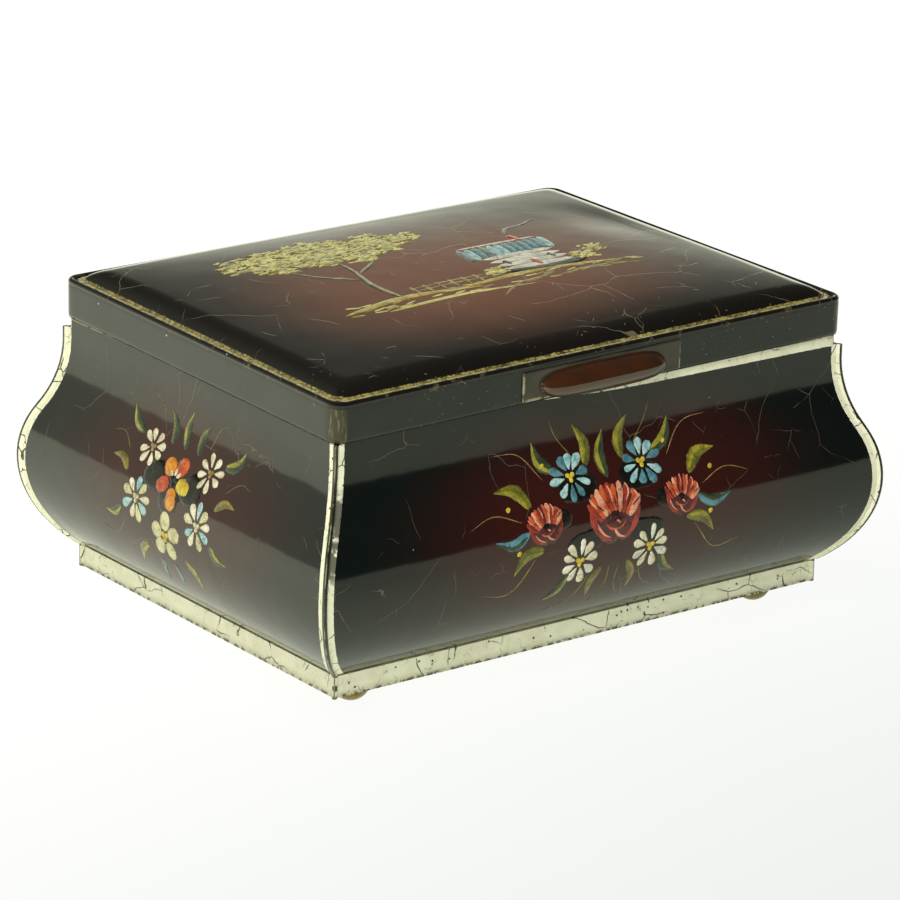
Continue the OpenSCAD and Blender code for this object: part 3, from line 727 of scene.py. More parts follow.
class LidForm:
    """The lid's own frame and the height of its raised panel."""

    def __init__(self):
        shape = settings("tin_lid")
        points = np.array([v.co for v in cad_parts["lid_shell"].data.vertices])
        rim = []
        for side_x in (-1, 1):
            for side_y in (-1, 1):
                here = points[(points[:, 0] * side_x > 0) & (points[:, 1] * side_y > 0)]
                rim.append(here[here[:, 2].argmin()])
        rim = np.array(rim)
        plane = np.linalg.lstsq(np.column_stack([rim[:, 0], rim[:, 1], np.ones(4)]), rim[:, 2], rcond=None)[0]
        up = Vector((-plane[0], -plane[1], 1)).normalized()
        right = Vector((1, 0, plane[0])).normalized()
        axes = Matrix((right, up.cross(right), up)).transposed().to_4x4()
        self.matrix = Matrix.Translation((0, 0, plane[2])) @ axes
        own = (points - np.array(self.matrix.translation)) @ np.array(self.matrix.to_3x3())
        self.half_x, self.half_y = abs(own[:, 0]).max(), abs(own[:, 1]).max()
        self.shape = shape
        self.deck = shape.skirt_height - shape.line_depth
        edge = 2 * shape.bead + shape.line_width
        self.pillow_x, self.pillow_y = self.half_x - edge, self.half_y - edge
        self.roll_down = shape.roll * math.sin(shape.roll_lean)
        self.roll_reach = shape.roll * math.cos(shape.roll_lean)

    def height(self, x, y):
        """Height of the raised panel's top over the lid's own XY plane."""
        shape = self.shape
        from_x, from_y = self.pillow_x - abs(x), self.pillow_y - abs(y)
        soft = np.clip(0.5 + (from_y - from_x) / (2 * shape.hip_blend), 0, 1)
        near = from_y * (1 - soft) + from_x * soft - shape.hip_blend * soft * (1 - soft)
        near = np.clip(near, 0, self.roll_reach)
        roll = np.sqrt(shape.roll ** 2 - (self.roll_reach - near) ** 2) - self.roll_down
        ease_x = 1 - np.exp(-np.clip(self.pillow_x - abs(x), 0, 1) / shape.shoulder_run)
        ease_y = 1 - np.exp(-np.clip(self.pillow_y - abs(y), 0, 1) / shape.shoulder_run)
        roll = roll * shape.roll_share + shape.shoulder * ease_x * ease_y
        share_x, share_y = x / self.pillow_x, y / self.pillow_y
        middle = np.clip((1 - share_x ** 2) * (1 - share_y ** 2), 0, 1)
        wave = np.sin(37 * x + 1.3) * np.cos(46 * y - 0.4) + 0.6 * np.sin(71 * x - 58 * y) - 1.6
        fall = ((x - 0.83 * self.half_x) / (16 * MM)) ** 2 + ((y - 0.30 * self.half_y) / (22 * MM)) ** 2
        quiet = np.clip(middle * 4, 0, 1)
        smooth = self.deck + roll + shape.crown * middle
        return smooth + shape.waviness * wave * quiet - shape.dent * np.exp(-fall) * quiet

    def at(self, u, v, lift):
        step = 0.2 * MM
        z = self.height(u, v)
        slope_x = (self.height(u + step, v) - z) / step
        slope_y = (self.height(u, v + step) - z) / step
        size = np.sqrt(1 + slope_x ** 2 + slope_y ** 2)
        return np.column_stack([u - lift * slope_x / size, v - lift * slope_y / size, z + lift / size])


def rounded_ring(half_x, half_y, radius, per_corner=10, per_side=40):
    """Points round a rounded rectangle, anticlockwise from the middle of its right side."""
    x, y = half_x - radius, half_y - radius
    points = []
    for turn, centre, start, end in (
            (0, (x, y), (half_x, -y), (half_x, y)), (90, (-x, y), (x, half_y), (-x, half_y)),
            (180, (-x, -y), (-half_x, y), (-half_x, -y)), (270, (x, -y), (-x, -half_y), (x, -half_y))):
        for share in np.arange(per_side) / per_side:
            eased = 0.5 - 0.5 * math.cos(math.pi * share)
            points.append([s + (e - s) * (0.6 * share + 0.4 * eased) for s, e in zip(start, end)])
        for share in np.arange(per_corner) / per_corner:
            angle = math.radians(turn + 90 * share)
            points.append([centre[0] + radius * math.cos(angle), centre[1] + radius * math.sin(angle)])
    return np.array(points)


def lid_rings(form):
    """Rings of the pressed lid, from the middle of its top, out over the edge and back in underneath."""
    shape = form.shape
    outer, inner = [], []
    edge = 2 * shape.bead + shape.line_width

    def ring(inset, radius, z, rings=outer):
        flat = rounded_ring(form.half_x - inset, form.half_y - inset, max(radius, 0.4 * MM))
        rings.append(np.column_stack([flat, np.full(len(flat), z)]))

    def pillow(rings, drop, start):
        flat_in = 13 * MM
        last = rounded_ring(form.pillow_x - flat_in, form.pillow_y - flat_in, 4 * MM + 0.7 * flat_in)
        shares = [0.03] + [i / 22 for i in range(1, 22)]
        steps = [start + (flat_in - start) * (i / 26) ** 1.25 for i in range(27)]
        for share in shares:
            flat = last * share
            rings.append(np.column_stack([flat, form.height(flat[:, 0], flat[:, 1]) - drop]))
        for step in reversed(steps):
            flat = rounded_ring(form.pillow_x - step, form.pillow_y - step, 4 * MM + 0.7 * step)
            rings.append(np.column_stack([flat, form.height(flat[:, 0], flat[:, 1]) - drop]))

    # Raised panel, crease, gold line, crease
    pillow(outer, 0, 0)
    deck, crease = form.deck, shape.crease
    for inset, radius, z in ((edge - 0.15 * MM, 4.0, deck - crease), (edge - 0.35 * MM, 3.8, deck),
                             (edge - 1.0 * MM, 3.5, deck + 0.06 * MM), (edge - 1.6 * MM, 3.2, deck),
                             (edge - 1.85 * MM, 3.1, deck - crease)):
        ring(inset, radius * MM, z)

    # Bead, crease and skirt
    centre_z = shape.skirt_height - shape.bead
    start = math.asin((deck - centre_z) / shape.bead)
    for i in range(15):
        angle = start + (math.pi * 1.08 - start) * i / 14
        ring(shape.bead * (1 + math.cos(angle)), shape.corner - shape.bead * (1 + math.cos(angle)),
             centre_z + shape.bead * math.sin(angle))
    ring(crease, shape.corner - crease, centre_z - 0.55 * MM)
    ring(0.02 * MM, shape.corner, centre_z - 0.95 * MM)
    for i in range(1, 12):
        ring(0, shape.corner, (centre_z - 0.95 * MM) * (1 - i / 12) + 0.12 * MM)
    ring(0.12 * MM, shape.corner - 0.12 * MM, 0)
    ring(shape.sheet - 0.1 * MM, shape.corner - shape.sheet, 0)

    # Underside, from the middle outwards
    pillow(inner, shape.sheet, 0.45 * MM)
    ring(edge - 0.2 * MM, 3.8 * MM, deck - shape.sheet - 0.02 * MM, inner)
    ring(shape.sheet + 0.6 * MM, shape.corner - shape.sheet - 0.6 * MM, deck - shape.sheet - 0.02 * MM, inner)
    ring(shape.sheet, shape.corner - shape.sheet, deck - shape.sheet - 0.6 * MM, inner)
    ring(shape.sheet, shape.corner - shape.sheet, 0.12 * MM, inner)
    return outer, inner


def stitch(rings, start, flip=False):
    """Quads between neighbouring rings, whose points follow each other from the index start."""
    count = len(rings[0])
    faces = []
    for row in range(len(rings) - 1):
        a, b = start + row * count, start + (row + 1) * count
        for i in range(count):
            j = (i + 1) % count
            quad = [a + i, b + i, b + j, a + j]
            faces.append(quad[::-1] if flip else quad)
    return faces


SHAPES = {
    "oval": lambda t: np.sin(np.pi * t) ** 0.5,
    "drop": lambda t: np.sin(np.pi * t ** 1.7) ** 0.6,
    "leaf": lambda t: np.sin(np.pi * t ** 0.75),
    "line": lambda t: np.minimum(1, 6 * t * (1 - t)) * (1 - 0.55 * t),
}


class Brush:
    """Brush strokes gathered into one mesh over a surface, with a material slot for each colour."""

    def __init__(self, surface, seed):
        self.surface, self.dice, self.look = surface, random.Random(seed), settings("tin_paint")
        self.points, self.faces, self.slots, self.colours = [], [], [], []
        self.count = 0

    def stroke(self, route, width, tone, shape="oval", layer=0, rows=9):
        """A stroke along a route of (u, v) points in millimetres."""
        route = np.array(route, float) * MM
        if len(route) > 2:
            rows = max(rows, 5 * len(route))
        knots = np.concatenate([[0], np.cumsum(np.hypot(*np.diff(route, axis=0).T))])
        if knots[-1] == 0:
            raise ValueError("a brush stroke needs a length")
        t = np.linspace(0, 1, rows + 1)
        line = smooth_route(route, knots / knots[-1], t)
        way = np.gradient(line, axis=0)
        way /= np.hypot(*way.T)[:, None]
        side = np.column_stack([-way[:, 1], way[:, 0]])
        half = 0.5 * width * MM * SHAPES[shape](t)
        wobble = [1 + 0.16 * (self.dice.random() - 0.5) for _ in t]
        half = half * np.array(wobble)
        across = np.linspace(-1, 1, 5)
        base = self.look.layer * layer
        flat, lift = [line[0]], [-self.look.sink]
        for row in range(1, rows):
            for j in across:
                flat.append(line[row] + side[row] * half[row] * j)
                bulge = self.look.relief * (1 - j * j) + base
                lift.append(bulge if abs(j) < 1 else -self.look.sink)
        flat.append(line[-1])
        lift.append(-self.look.sink)
        flat = np.array(flat)
        self.points.append(self.surface.at(flat[:, 0], flat[:, 1], np.array(lift)))
        self.faces += [[self.count + i for i in face] for face in lens_faces(rows - 1, len(across))]
        if tone not in self.colours:
            self.colours.append(tone)
        made = len(self.faces) - len(self.slots)
        self.slots += [self.colours.index(tone)] * made
        self.count += len(flat)

    def petal(self, centre, angle, start, end, width, tone, shape="drop", layer=1):
        """A straight petal that points away from a flower's middle."""
        c, s = math.cos(math.radians(angle)), math.sin(math.radians(angle))
        route = [(centre[0] + c * d, centre[1] + s * d) for d in (start, end)]
        self.stroke(route, width, tone, shape, layer)

    def arc(self, centre, radius, first, last, width, tone, layer=2):
        route = []
        for angle in np.linspace(first, last, 6):
            a = math.radians(angle)
            route.append((centre[0] + radius * math.cos(a), centre[1] + radius * math.sin(a)))
        self.stroke(route, width, tone, "line", layer, rows=14)

    def daisy(self, centre, radius, petals, tones, eye="yolk", turn=0.0):
        """Narrow petals round a small raised eye. Tones are dealt round the flower in turn."""
        for i in range(petals):
            angle = turn + 360 * i / petals + self.dice.uniform(-7, 7)
            reach = radius * self.dice.uniform(0.86, 1.06)
            width = radius * self.dice.uniform(0.36, 0.46)
            tone = tones[i % len(tones)]
            self.petal(centre, angle, 0.24 * radius, reach, width, tone, "drop", 3)
        for angle in (20, 140, 260):
            self.petal(centre, angle + turn, 0, 0.24 * radius, 0.24 * radius, eye, "oval", 5)

    def broad(self, centre, radius, tones, eye="shade", turn=0.0, width=0.66):
        """Five wide petals that nearly meet."""
        for i, tone in enumerate(tones):
            angle = turn + 360 * i / len(tones) + self.dice.uniform(-5, 5)
            reach = radius * self.dice.uniform(0.92, 1.06)
            self.petal(centre, angle, 0.20 * radius, reach, width * radius, tone, "oval", 3)
        for angle in (30, 150, 270):
            self.petal(centre, angle, 0, 0.25 * radius, 0.26 * radius, eye, "oval", 5)

    def rose(self, centre, radius, turn=0.0):
        """A cupped rose: upright ruffles over a dark heart, held by two pale outer petals."""
        c, s = math.cos(math.radians(turn)), math.sin(math.radians(turn))

        def spot(u, v):
            return centre[0] + radius * (c * u - s * v), centre[1] + radius * (s * u + c * v)

        for angle in range(0, 360, 50):
            self.petal(centre, angle, 0.1 * radius, 0.88 * radius, 0.8 * radius, "wine", "oval", 1)
        self.arc(centre, 0.74 * radius, 150 + turn, 262 + turn, 0.36 * radius, "rose", 2)
        self.arc(centre, 0.74 * radius, 385 + turn, 278 + turn, 0.36 * radius, "rose", 2)
        tones = ("rose", "scarlet", "blush", "scarlet", "rose", "scarlet", "blush")
        for i, share in enumerate(np.linspace(-0.90, 0.90, 10)):
            top = math.sqrt(1 - share * share) * self.dice.uniform(0.80, 0.94)
            lean = self.dice.uniform(-0.10, 0.10)
            foot, waist = (0.50 * share, 0.06 - 0.25 * abs(share)), (0.92 * share + lean, 0.5 * top)
            route = [spot(*foot), spot(*waist), spot(share, top)]
            self.stroke(route, radius * self.dice.uniform(0.24, 0.38), tones[i % 7], "oval", 3 + i % 2)
        for share in (-0.78, -0.46, -0.12, 0.22, 0.50, 0.76):
            top = math.sqrt(1 - share * share) * self.dice.uniform(0.78, 0.92)
            foot, waist = (0.75 * share + 0.03, 0.35 * top), (share + 0.06, 0.7 * top)
            route = [spot(*foot), spot(*waist), spot(share - 0.02, top)]
            self.stroke(route, 0.09 * radius, "blush", "oval", 5)
            fold = [spot(0.6 * share + 0.12, 0.1), spot(share + 0.16, 0.6 * top)]
            self.stroke(fold, 0.08 * radius, "wine", "oval", 5)
        heart = [spot(-0.30, -0.18), spot(0.0, -0.34), spot(0.34, -0.12)]
        self.stroke(heart, 0.42 * radius, "wine", "oval", 5)
        self.arc(centre, 0.66 * radius, 195 + turn, 255 + turn, 0.12 * radius, "blush", 6)
        self.arc(centre, 0.42 * radius, 215 + turn, 330 + turn, 0.12 * radius, "scarlet", 6)
        lower = [spot(-0.10, -0.36), spot(0.10, -0.62), spot(0.34, -0.70)]
        self.stroke(lower, 0.12 * radius, "blush", "leaf", 6)
        self.stroke([spot(0.02, -0.18), spot(0.16, -0.28)], 0.12 * radius, "blush", "oval", 7)

    def leaf(self, base, tip, width, tones=("moss", "spring"), bend=0.18):
        """A dark leaf with its lit half laid over it."""
        base, tip = np.array(base, float), np.array(tip, float)
        run = tip - base
        side = np.array([-run[1], run[0]])
        middle = base + 0.5 * run + bend * side
        self.stroke([base, middle, tip], width, tones[0], "leaf", 1)
        shift = 0.16 * width * side / np.hypot(*side)
        self.stroke([base + 0.06 * run + shift, middle + shift, tip], 0.52 * width, tones[1], "leaf", 2)

    def tendril(self, route, tone="ochre", width=0.55):
        self.stroke(route, width, tone, "line", 1)

    def finish(self, name, body, matrix=None):
        piece = mesh_object(name, np.vstack(self.points), self.faces, [paint(c) for c in self.colours],
                            self.slots, matrix)
        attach(piece, body)
        return piece


def smooth_route(route, knots, t):
    """Points at the shares t along a curve through every point of the route."""
    if len(route) == 2:
        return route[0] + np.outer(t, route[1] - route[0])
    slopes = np.gradient(route, knots, axis=0)
    place = np.clip(np.searchsorted(knots, t, side="right") - 1, 0, len(knots) - 2)
    span = (knots[place + 1] - knots[place])[:, None]
    s = (t - knots[place])[:, None] / span
    a, b = route[place], route[place + 1]
    return (a * (1 + 2 * s) * (1 - s) ** 2 + b * s * s * (3 - 2 * s)
            + span * (slopes[place] * s * (1 - s) ** 2 + slopes[place + 1] * s * s * (s - 1)))


def lens_faces(rows, across):
    """Faces of a closed lens: a tip, rows of points across it and a tip, with a flat underside."""
    end = 1 + rows * across
    faces = []
    for j in range(across - 1):
        faces.append([0, 1 + j, 2 + j])
        last = 1 + (rows - 1) * across + j
        faces.append([last, end, last + 1])
    faces.append([0, across, 1])
    faces.append([1 + (rows - 1) * across, end - 1, end])
    for row in range(rows - 1):
        a, b = 1 + row * across, 1 + (row + 1) * across
        for j in range(across - 1):
            faces.append([a + j, b + j, b + j + 1, a + j + 1])
        faces.append([a, a + across - 1, b + across - 1, b])
    return faces


# ---- Operators ----

class TIN_OT_studio(bpy.types.Operator):
    """Camera, light table, glowing surround and two soft lamps"""
    bl_idname = "tin.studio"
    bl_label = "Studio"

    def execute(self, context):
        look = settings("tin_studio")
        scene = context.scene
        scene.view_settings.view_transform = "Standard"
        a, e = look.azimuth, look.elevation
        back = Vector((math.sin(a) * math.cos(e), -math.cos(a) * math.cos(e), math.sin(e)))
        camera = bpy.data.objects.new("camera", bpy.data.cameras.new("camera"))
        scene.collection.objects.link(camera)
        camera.data.lens = look.lens
        camera.data.sensor_width = 36
        camera.data.clip_start, camera.data.clip_end = 0.05, 40
        turn = (-back).to_track_quat("-Z", "Y").to_matrix().to_4x4()
        camera.matrix_world = (Matrix.Translation(Vector(look.aim) + back * look.distance) @ turn
                               @ Matrix.Rotation(look.roll, 4, "Z"))
        scene.camera = camera

        size = 6.0
        corners = [(-size, -size, 0), (size, -size, 0), (size, size, 0), (-size, size, 0)]
        made, t, shader = material("table", Roughness=0.9)
        where = t.place()[0]
        left_back = t.dot(where, (-0.607, 0.794, 0))
        far = t.step(t.dot(where, (-0.15, 0.99, 0)), -0.33, 0.10)
        white = t.blend(far, (0.80, 0.83, 0.79), (1.0, 1.0, 0.99))
        warm = t.blend(t.step(left_back, -0.30, 0.35), (0.66, 0.71, 0.60), (1.50, 1.52, 1.24))
        seen = t.add("LightPath").outputs["Is Camera Ray"]
        t.plug(shader["Base Color"], (0.035, 0.036, 0.034))
        t.plug(shader["Emission Color"], t.blend(seen, warm, white))
        t.plug(shader["Emission Strength"], look.table_glow)
        table = mesh_object("table", corners, [(0, 1, 2, 3)], [made])

        # The surround glows low down, behind and to the left of the tin, and is dim elsewhere. The camera
        # sees it as plain white.
        world = bpy.data.worlds.new("studio")
        scene.world = world
        world.use_nodes = True
        world.node_tree.nodes.clear()
        t = Tree(world.node_tree)
        way = t.add("TexCoord").outputs["Generated"]
        facing = t.step(t.dot(way, (0.25, 0.968, 0)), -0.15, 0.95)
        ahead = t.step(t.dot(way, (-back.x, -back.y, 0)), 0.35, 0.85)
        height = t.add("SeparateXYZ", {0: way}).outputs[2]
        horizon = t.both(t.both(t.step(height, 0.31, 0.06), 1.5), ahead)
        higher = t.both(t.step(height, 0.52, 0.22), 0.36)
        low = t.plus(horizon, t.plus(higher, 0.06))
        side = t.both(t.step(t.dot(way, (-0.80, 0.60, 0)), 0.30, 0.95), 0.30)
        glow = t.scaled(t.plus(t.both(facing, low), side), look.back_glow, look.room)
        paper = t.add("Background", {"Color": (1.0, 1.0, 0.82), "Strength": glow})
        plain = t.add("Background", {"Color": (1.0, 1.0, 0.99), "Strength": 1.0})
        seen = t.add("LightPath").outputs["Is Camera Ray"]
        mixed = t.add("MixShader", {0: seen, 1: paper.outputs[0], 2: plain.outputs[0]})
        t.plug(t.add("OutputWorld").inputs[0], mixed.outputs[0])

        for name, place, power in (("soft_lamp", (-0.50, -0.50, 1.15), look.lamp),
                                   ("fill_lamp", (-0.75, -0.85, 0.35), look.fill)):
            lamp = bpy.data.lights.new(name, "AREA")
            lamp.energy, lamp.shape, lamp.size, lamp.size_y = power, "RECTANGLE", 0.7, 0.5
            lamp.color = (1.0, 0.99, 0.94)
            holder = bpy.data.objects.new(name, lamp)
            scene.collection.objects.link(holder)
            holder.location = place
            holder.rotation_euler = (-Vector(place)).to_track_quat("-Z", "Y").to_euler()
            holder.visible_glossy = False
        return {"FINISHED"}


class TIN_OT_node_groups(bpy.types.Operator):
    """Shader groups that the finishes share"""
    bl_idname = "tin.node_groups"
    bl_label = "Shader Groups"

    def execute(self, context):
        for build in (crazing_group, scratches_group, flecks_group,
                      rim_group, brushwork_group, metal_age_group):
            build()
        return {"FINISHED"}


class TIN_OT_walls(bpy.types.Operator):
    """Lacquer and borders of the four walls"""
    bl_idname = "tin.walls"
    bl_label = "Walls"

    def execute(self, context):
        made = body_lacquer()
        for node in PANELS:
            dress(node, made)
        return {"FINISHED"}


class TIN_OT_metalwork(bpy.types.Operator):
    """Feet, base, collar, hinges and pins"""
    bl_idname = "tin.metalwork"
    bl_label = "Metalwork"

    def execute(self, context):
        tones = settings("tin_colours")
        tinplate = bare_metal("gold_tinplate", tuple(tones.brass), 0.4, 0.03 * MM)
        feet = bare_metal("foot_gold", tuple(tones.feet), 0.6, 0.06 * MM)
        steel = bare_metal("hinge_steel", tuple(tones.steel), 0.6, 0.05 * MM)
        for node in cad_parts:
            if node.startswith("foot_"):
                dress(node, feet)
            elif "hinge" in node:
                dress(node, steel)
            elif node in ("base_plate", "neck_collar"):
                dress(node, tinplate)
        return {"FINISHED"}


class TIN_OT_lid(bpy.types.Operator):
    """Pressed lid with its bead, gold line and raised panel"""
    bl_idname = "tin.lid"
    bl_label = "Lid"

    def execute(self, context):
        form = LidForm()
        outer, inner = lid_rings(form)
        count = len(outer[0])
        points = np.vstack(outer + inner)
        start = len(outer) * count
        faces = stitch(outer, 0) + stitch(inner, start, flip=True)
        outside = (len(outer) - 1) * count
        rim_out, rim_in = outside, start + (len(inner) - 1) * count
        for i in range(count):
            j = (i + 1) % count
            faces.append([rim_out + i, rim_in + i, rim_in + j, rim_out + j])
        faces.append(list(range(count)))
        faces.append(list(range(start, start + count))[::-1])
        slots = [0] * outside + [1] * (len(faces) - outside)
        slots[-2] = 0
        lining = bare_metal("lid_lining", tuple(settings("tin_colours").brass), 0.35, 0.03 * MM)
        lid = mesh_object("pressed_lid", points, faces, [lid_lacquer(form), lining],
                          slots, form.matrix)
        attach(lid, "lid")
        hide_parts("lid_shell")
        self.thumb_lift(form)
        return {"FINISHED"}

    def thumb_lift(self, form):
        """A thin plate on the skirt with a hollow lip, whose full round bar has rounded ends."""
        shape, tones = form.shape, settings("tin_colours")
        half_w, sheet = shape.lift_width / 2, shape.lift_sheet
        low, high = shape.lift_low, shape.lift_low + shape.lift_height
        back, soft = -form.half_y, 0.14 * MM
        rings = []
        front = back - sheet
        for grow, y in ((0, back), (0, front + soft), (-soft, front), (-4 * soft, front)):
            flat = rounded_ring(half_w + grow, (high - low) / 2 + grow, 0.5 * MM, 4, 6)
            rings.append(np.column_stack([flat[:, 0], np.full(len(flat), y), flat[:, 1] + (low + high) / 2]))
        count = len(rings[0])
        points = list(np.vstack(rings))
        faces = stitch(rings, 0, flip=True)
        faces.append(list(range(count))[::-1])
        faces.append(list(range(3 * count, 4 * count)))
        slots = [0] * len(faces)

        rows, columns = 60, 18
        undercut = math.radians(-48)
        middle = low - shape.lip_rise * math.sin(undercut)
        start = len(points)
        for inner in (0, sheet):
            for row in range(rows + 1):
                share = -math.cos(math.pi * row / rows)
                taper = max(1 - abs(share) ** 7, 0.03) ** 0.5 * (1 - 0.10 * share * share)
                reach, tall = shape.lip_radius * taper - inner, shape.lip_rise * taper - inner
                x = share * (shape.lip_length / 2 - inner)
                for column in range(columns + 1):
                    angle = undercut + (math.radians(104) - undercut) * column / columns
                    y = back + shape.lip_sink - reach * math.cos(angle)
                    points.append((x, y, middle + tall * math.sin(angle)))
        step, sheet_size = columns + 1, (rows + 1) * (columns + 1)
        for row in range(rows):
            for column in range(columns):
                a = start + row * step + column
                faces.append([a, a + step, a + step + 1, a + 1])
                faces.append([sheet_size + i for i in (a, a + 1, a + step + 1, a + step)])
            for a, flip in ((start + row * step, False), (start + row * step + columns, True)):
                edge = [a, a + sheet_size, a + sheet_size + step, a + step]
                faces.append(edge[::-1] if flip else edge)
        for row, flip in ((0, False), (rows, True)):
            for column in range(columns):
                a = start + row * step + column
                edge = [a, a + 1, a + 1 + sheet_size, a + sheet_size]
                faces.append(edge[::-1] if flip else edge)
        slots += [1] * (len(faces) - len(slots))
        plate = lift_lacquer("lift_plate", tones.plate, (0.040, 0.034, 0.022), 1.5, half_w)
        lip = lift_lacquer("lift_lip", tones.lip, (0.030, 0.011, 0.005), 1.8, shape.lip_length / 2)
        piece = mesh_object("pressed_thumb_lift", points, faces, [plate, lip], slots, form.matrix)
        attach(piece, "lid")
        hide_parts("thumb_lift")


class TIN_OT_long_bouquets(bpy.types.Operator):
    """Even sprays of roses and daisies on the two long walls"""
    bl_idname = "tin.long_bouquets"
    bl_label = "Long Wall Bouquets"

    def execute(self, context):
        for node in ("front_panel", "back_panel"):
            brush = Brush(PanelFace(node), settings("tin_paint").seed)
            brush.stroke([(-8, 9), (8, 9)], 22, "shade", "oval", 0)
            brush.leaf((0, 19), (1, 35), 5.2, ("moss", "spring"), 0.12)
            for side in (-1, 1):
                self.half(brush, side)
            brush.rose((0, 8), 11.5)
            brush.finish(node.replace("_panel", "_bouquet"), "tin_body")
        return {"FINISHED"}

    def half(self, brush, side):
        """One side of the spray."""
        def at(*points):
            return [(side * u, v) for u, v in points]

        for base, tip, width in (((4, 18), (20, 18), 14), ((5, 2), (20, -1), 13), ((16, 10), (31, 9), 10)):
            brush.stroke(at(base, tip), width, "shade", "oval", 0)
        for base, tip, width, tones, bend in (
                ((7, 24), (11, 38), 4.8, ("leaf", "spring"), 0.16),
                ((19, 24), (27, 35), 5.2, ("moss", "spring"), -0.16),
                ((31, 15), (44, 22), 5.4, ("leaf", "spring"), 0.20),
                ((33, 8), (47, 7), 4.4, ("teal", "moss"), -0.18),
                ((28, 2), (40, -5), 4.6, ("leaf", "spring"), 0.18),
                ((18, -8), (27, -17), 4.2, ("moss", "spring"), -0.14),
                ((5, -8), (8, -20), 3.6, ("leaf", "ochre"), 0.14)):
            brush.leaf(*at(base, tip), width, tones, side * bend)
        for route in (((24, 22), (33, 32), (43, 33)),
                      ((35, 11), (46, 15), (56, 12)), ((31, 0), (42, -11), (52, -9)),
                      ((9, -9), (15, -19), (25, -22)),
                      ((2, -8), (2, -16), (6, -23)), ((12, 28), (18, 36), (20, 41))):
            brush.tendril(at(*route), "ochre" if route[0][0] > 20 else "leaf")
        brush.rose((side * 27, 9), 7.6, -10 * side)
        brush.daisy((side * 14, 22), 8.4, 10, ("teal", "sky", "sky", "teal"), "yolk", 12)
        brush.daisy((side * 14, -5), 7.8, 9, ("ivory", "ivory", "chalk"), "yolk", 5)
        for u, v in ((24, 27), (38, 2), (40, 16)):
            brush.petal((side * u, v), 40, -0.9, 1.1, 1.8, "yolk", "oval", 3)


class TIN_OT_end_bouquets(bpy.types.Operator):
    """Even sprays of a pansy, a cream flower and daisies on the two end walls"""
    bl_idname = "tin.end_bouquets"
    bl_label = "End Wall Bouquets"

    def execute(self, context):
        for node in ("left_end_panel", "right_end_panel"):
            brush = Brush(PanelFace(node), settings("tin_paint").seed + 1)
            brush.stroke([(-6, 10), (6, 10)], 20, "shade", "oval", 0)
            brush.leaf((0, 25), (1, 38), 4.4, ("moss", "spring"), 0.12)
            for side in (-1, 1):
                self.half(brush, side)
            brush.broad((0, -3), 8.2, ("cream",) * 5, "yolk", 18, 0.72)
            brush.broad((0, 15), 9.4, ("yolk", "scarlet", "amber", "scarlet", "amber"), "shade", -8, 0.70)
            for angle in (50, 90, 130):
                brush.petal((0, 15), angle, 1.6, 4.2, 1.6, "ivory", "oval", 6)
            brush.finish(node.replace("_panel", "_bouquet"), "tin_body")
        return {"FINISHED"}

    def half(self, brush, side):
        """One side of the spray."""
        def at(*points):
            return [(side * u, v) for u, v in points]

        brush.stroke(at((4, 14), (16, 14)), 14, "shade", "oval", 0)
        for base, tip, width, tones, bend in (
                ((7, 25), (11, 36), 4.0, ("moss", "leaf"), 0.14),
                ((22, 25), (31, 33), 4.6, ("moss", "spring"), -0.16),
                ((24, 12), (34, 15), 3.6, ("leaf", "ochre"), 0.20),
                ((24, 1), (34, -3), 3.8, ("moss", "spring"), -0.16),
                ((10, -8), (17, -17), 3.8, ("leaf", "spring"), 0.14),
                ((3, -11), (4, -20), 3.0, ("moss", "teal"), 0.10)):
            brush.leaf(*at(base, tip), width, tones, side * bend)
        for route in (((12, 28), (16, 36), (23, 39)), ((26, 18), (33, 23), (38, 22)),
                      ((22, -3), (29, -10), (37, -9))):
            brush.tendril(at(*route), "leaf", 0.5)
        brush.daisy((side * 16, 22), 6.9, 8, ("ivory",), "ochre", 14)
        brush.daisy((side * 17, 5), 7.8, 9, ("ivory", "cream", "sky"), "cream", 8)


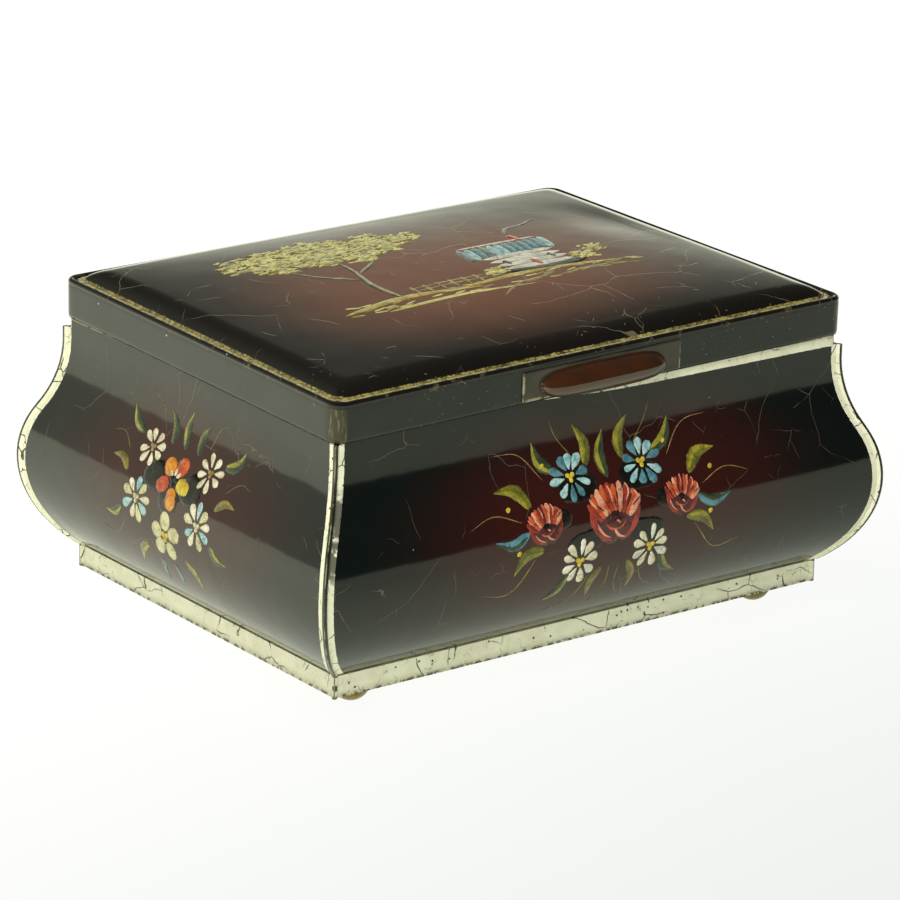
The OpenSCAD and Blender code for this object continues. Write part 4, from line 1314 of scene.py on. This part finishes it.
class TIN_OT_lid_scene(bpy.types.Operator):
    """Country scene painted on the lid: a spreading tree, a cottage and a fence"""
    bl_idname = "tin.lid_scene"
    bl_label = "Lid Scene"

    def execute(self, context):
        form = LidForm()
        brush = Brush(form, settings("tin_paint").seed + 2)
        self.ground(brush)
        self.tree(brush)
        self.cottage(brush)
        self.fence(brush)
        brush.finish("lid_scene", "lid", form.matrix)
        return {"FINISHED"}

    def ground(self, brush):
        """Low banks of grass, with a path that winds down from the cottage door."""
        for route, width, tone in ((((-58, -20), (-30, -15), (0, -19)), 4.0, "ground"),
                                   (((-10, -17), (20, -14), (60, -18)), 3.4, "ground"),
                                   (((-44, -24), (-14, -22), (16, -25)), 2.4, "foliage"),
                                   (((24, -22), (44, -20), (64, -24)), 2.0, "olive"),
                                   (((29, -12), (24, -19), (8, -23), (-4, -31)), 2.6, "ochre")):
            brush.stroke(route, width, tone, "leaf", 1)
        for _ in range(60):
            place = (brush.dice.uniform(-54, 62), -19 + brush.dice.uniform(-4, 4))
            tone = brush.dice.choice(("ground", "foliage", "olive"))
            brush.petal(place, brush.dice.uniform(-20, 20), -2.5, 2.8, 1.1, tone, "oval", 2)

    def leaves(self, brush, centre, size, count):
        """One clump: dark leaves underneath and small lit ones over them."""
        u, v = centre
        for _ in range(4):
            place = (u + brush.dice.uniform(-0.5, 0.5) * size, v + brush.dice.uniform(-0.6, 0.2) * size)
            lean = brush.dice.uniform(-30, 30)
            brush.petal(place, lean, -0.5 * size, 0.5 * size, 0.42 * size, "olive", "oval", 2)
        for _ in range(count):
            place = (u + brush.dice.uniform(-0.8, 0.8) * size, v + brush.dice.uniform(-0.6, 0.7) * size)
            lean, reach = brush.dice.uniform(-35, 45), brush.dice.uniform(1.1, 2.2)
            tone = brush.dice.choice(("foliage", "foliage", "foliage", "spring"))
            brush.petal(place, lean, -reach, reach, brush.dice.uniform(0.9, 1.6), tone, "oval", 4)

    def tree(self, brush):
        """A forked trunk under an oval crown, whose clumps are spaced by the golden angle."""
        for route, width in ((((-31, -19), (-32, 0), (-28, 18), (-27, 32)), 2.6),
                             (((-31, 6), (-42, 18), (-48, 30)), 1.6),
                             (((-29, 12), (-16, 22), (-8, 32)), 1.6)):
            brush.stroke(route, width + 0.9, "moss", "line", 0)
            brush.stroke(route, 0.75 * width, "bark", "line", 2)
        clumps, golden = 24, math.radians(137.5)
        for i in range(clumps):
            out = math.sqrt((i + 0.5) / clumps)
            centre = (-26 + 36 * out * math.cos(i * golden), 38 + 12 * out * math.sin(i * golden))
            size = 9.5 - 3.5 * out
            self.leaves(brush, centre, size, int(4.6 * size))

    def cottage(self, brush):
        """Pale walls under a blue-grey roof, with a red door and a smoking chimney."""
        brush.stroke([(8, -9), (28, -13), (50, -9)], 7, "shade", "oval", 1)
        for v in (-9, -5, -1, 3):
            brush.stroke([(13, v), (43, v + 0.4)], 4.8, "chalk", "oval", 2)
        for u in range(10, 46, 3):
            tone = brush.dice.choice(("slate", "slate", "teal", "sky"))
            brush.stroke([(u + 3, 16), (u, 3 + brush.dice.uniform(-0.8, 0.8))], 4.0, tone, "oval", 3)
        brush.stroke([(12, 16.5), (47, 16.5)], 1.4, "chalk", "oval", 4)
        brush.stroke([(38, 15), (38, 22)], 3.6, "scarlet", "oval", 5)
        brush.stroke([(38, 23), (42, 28), (50, 30), (60, 35)], 2.2, "slate", "line", 3)
        brush.stroke([(28, -10.5), (28, -3)], 4.0, "scarlet", "oval", 4)
        for u in (19, 37):
            brush.stroke([(u, -5.5), (u, -0.5)], 3.2, "shade", "oval", 4)
            brush.stroke([(u - 1.4, -3), (u + 1.4, -3)], 0.5, "ivory", "oval", 5)
        for centre in ((10, -9), (47, -8), (54, -3)):
            self.leaves(brush, centre, 5.0, 26)

    def fence(self, brush):
        """Posts and two rails between the tree and the cottage."""
        for v in (-12, -9.5):
            brush.stroke([(-24, v), (-8, v + 0.5), (6, v)], 0.9, "bark", "oval", 3)
        for u in range(-24, 8, 5):
            brush.stroke([(u, -15), (u + 0.3, -7.5)], 1.3, "bark", "oval", 4)


OPERATORS = (TIN_OT_node_groups, TIN_OT_studio, TIN_OT_walls, TIN_OT_metalwork, TIN_OT_lid,
             TIN_OT_long_bouquets, TIN_OT_end_bouquets, TIN_OT_lid_scene)


class TIN_PT_panel(bpy.types.Panel):
    """Lists the steps that dress the tin"""
    bl_label = "Biscuit Tin"
    bl_idname = "TIN_PT_panel"
    bl_space_type = "VIEW_3D"
    bl_region_type = "UI"
    bl_category = "Biscuit Tin"

    def draw(self, context):
        for kind in OPERATORS:
            self.layout.operator(kind.bl_idname)


CLASSES = (*GROUPS.values(), *OPERATORS, TIN_PT_panel)


def register():
    for kind in CLASSES:
        bpy.utils.register_class(kind)
    for name, kind in GROUPS.items():
        setattr(bpy.types.Scene, name, PointerProperty(type=kind))


def unregister():
    for name in GROUPS:
        delattr(bpy.types.Scene, name)
    for kind in reversed(CLASSES):
        bpy.utils.unregister_class(kind)


def main():
    register()
    for kind in OPERATORS:
        group, name = kind.bl_idname.split(".")
        getattr(getattr(bpy.ops, group), name)()


if __name__ == "__main__":
    main()
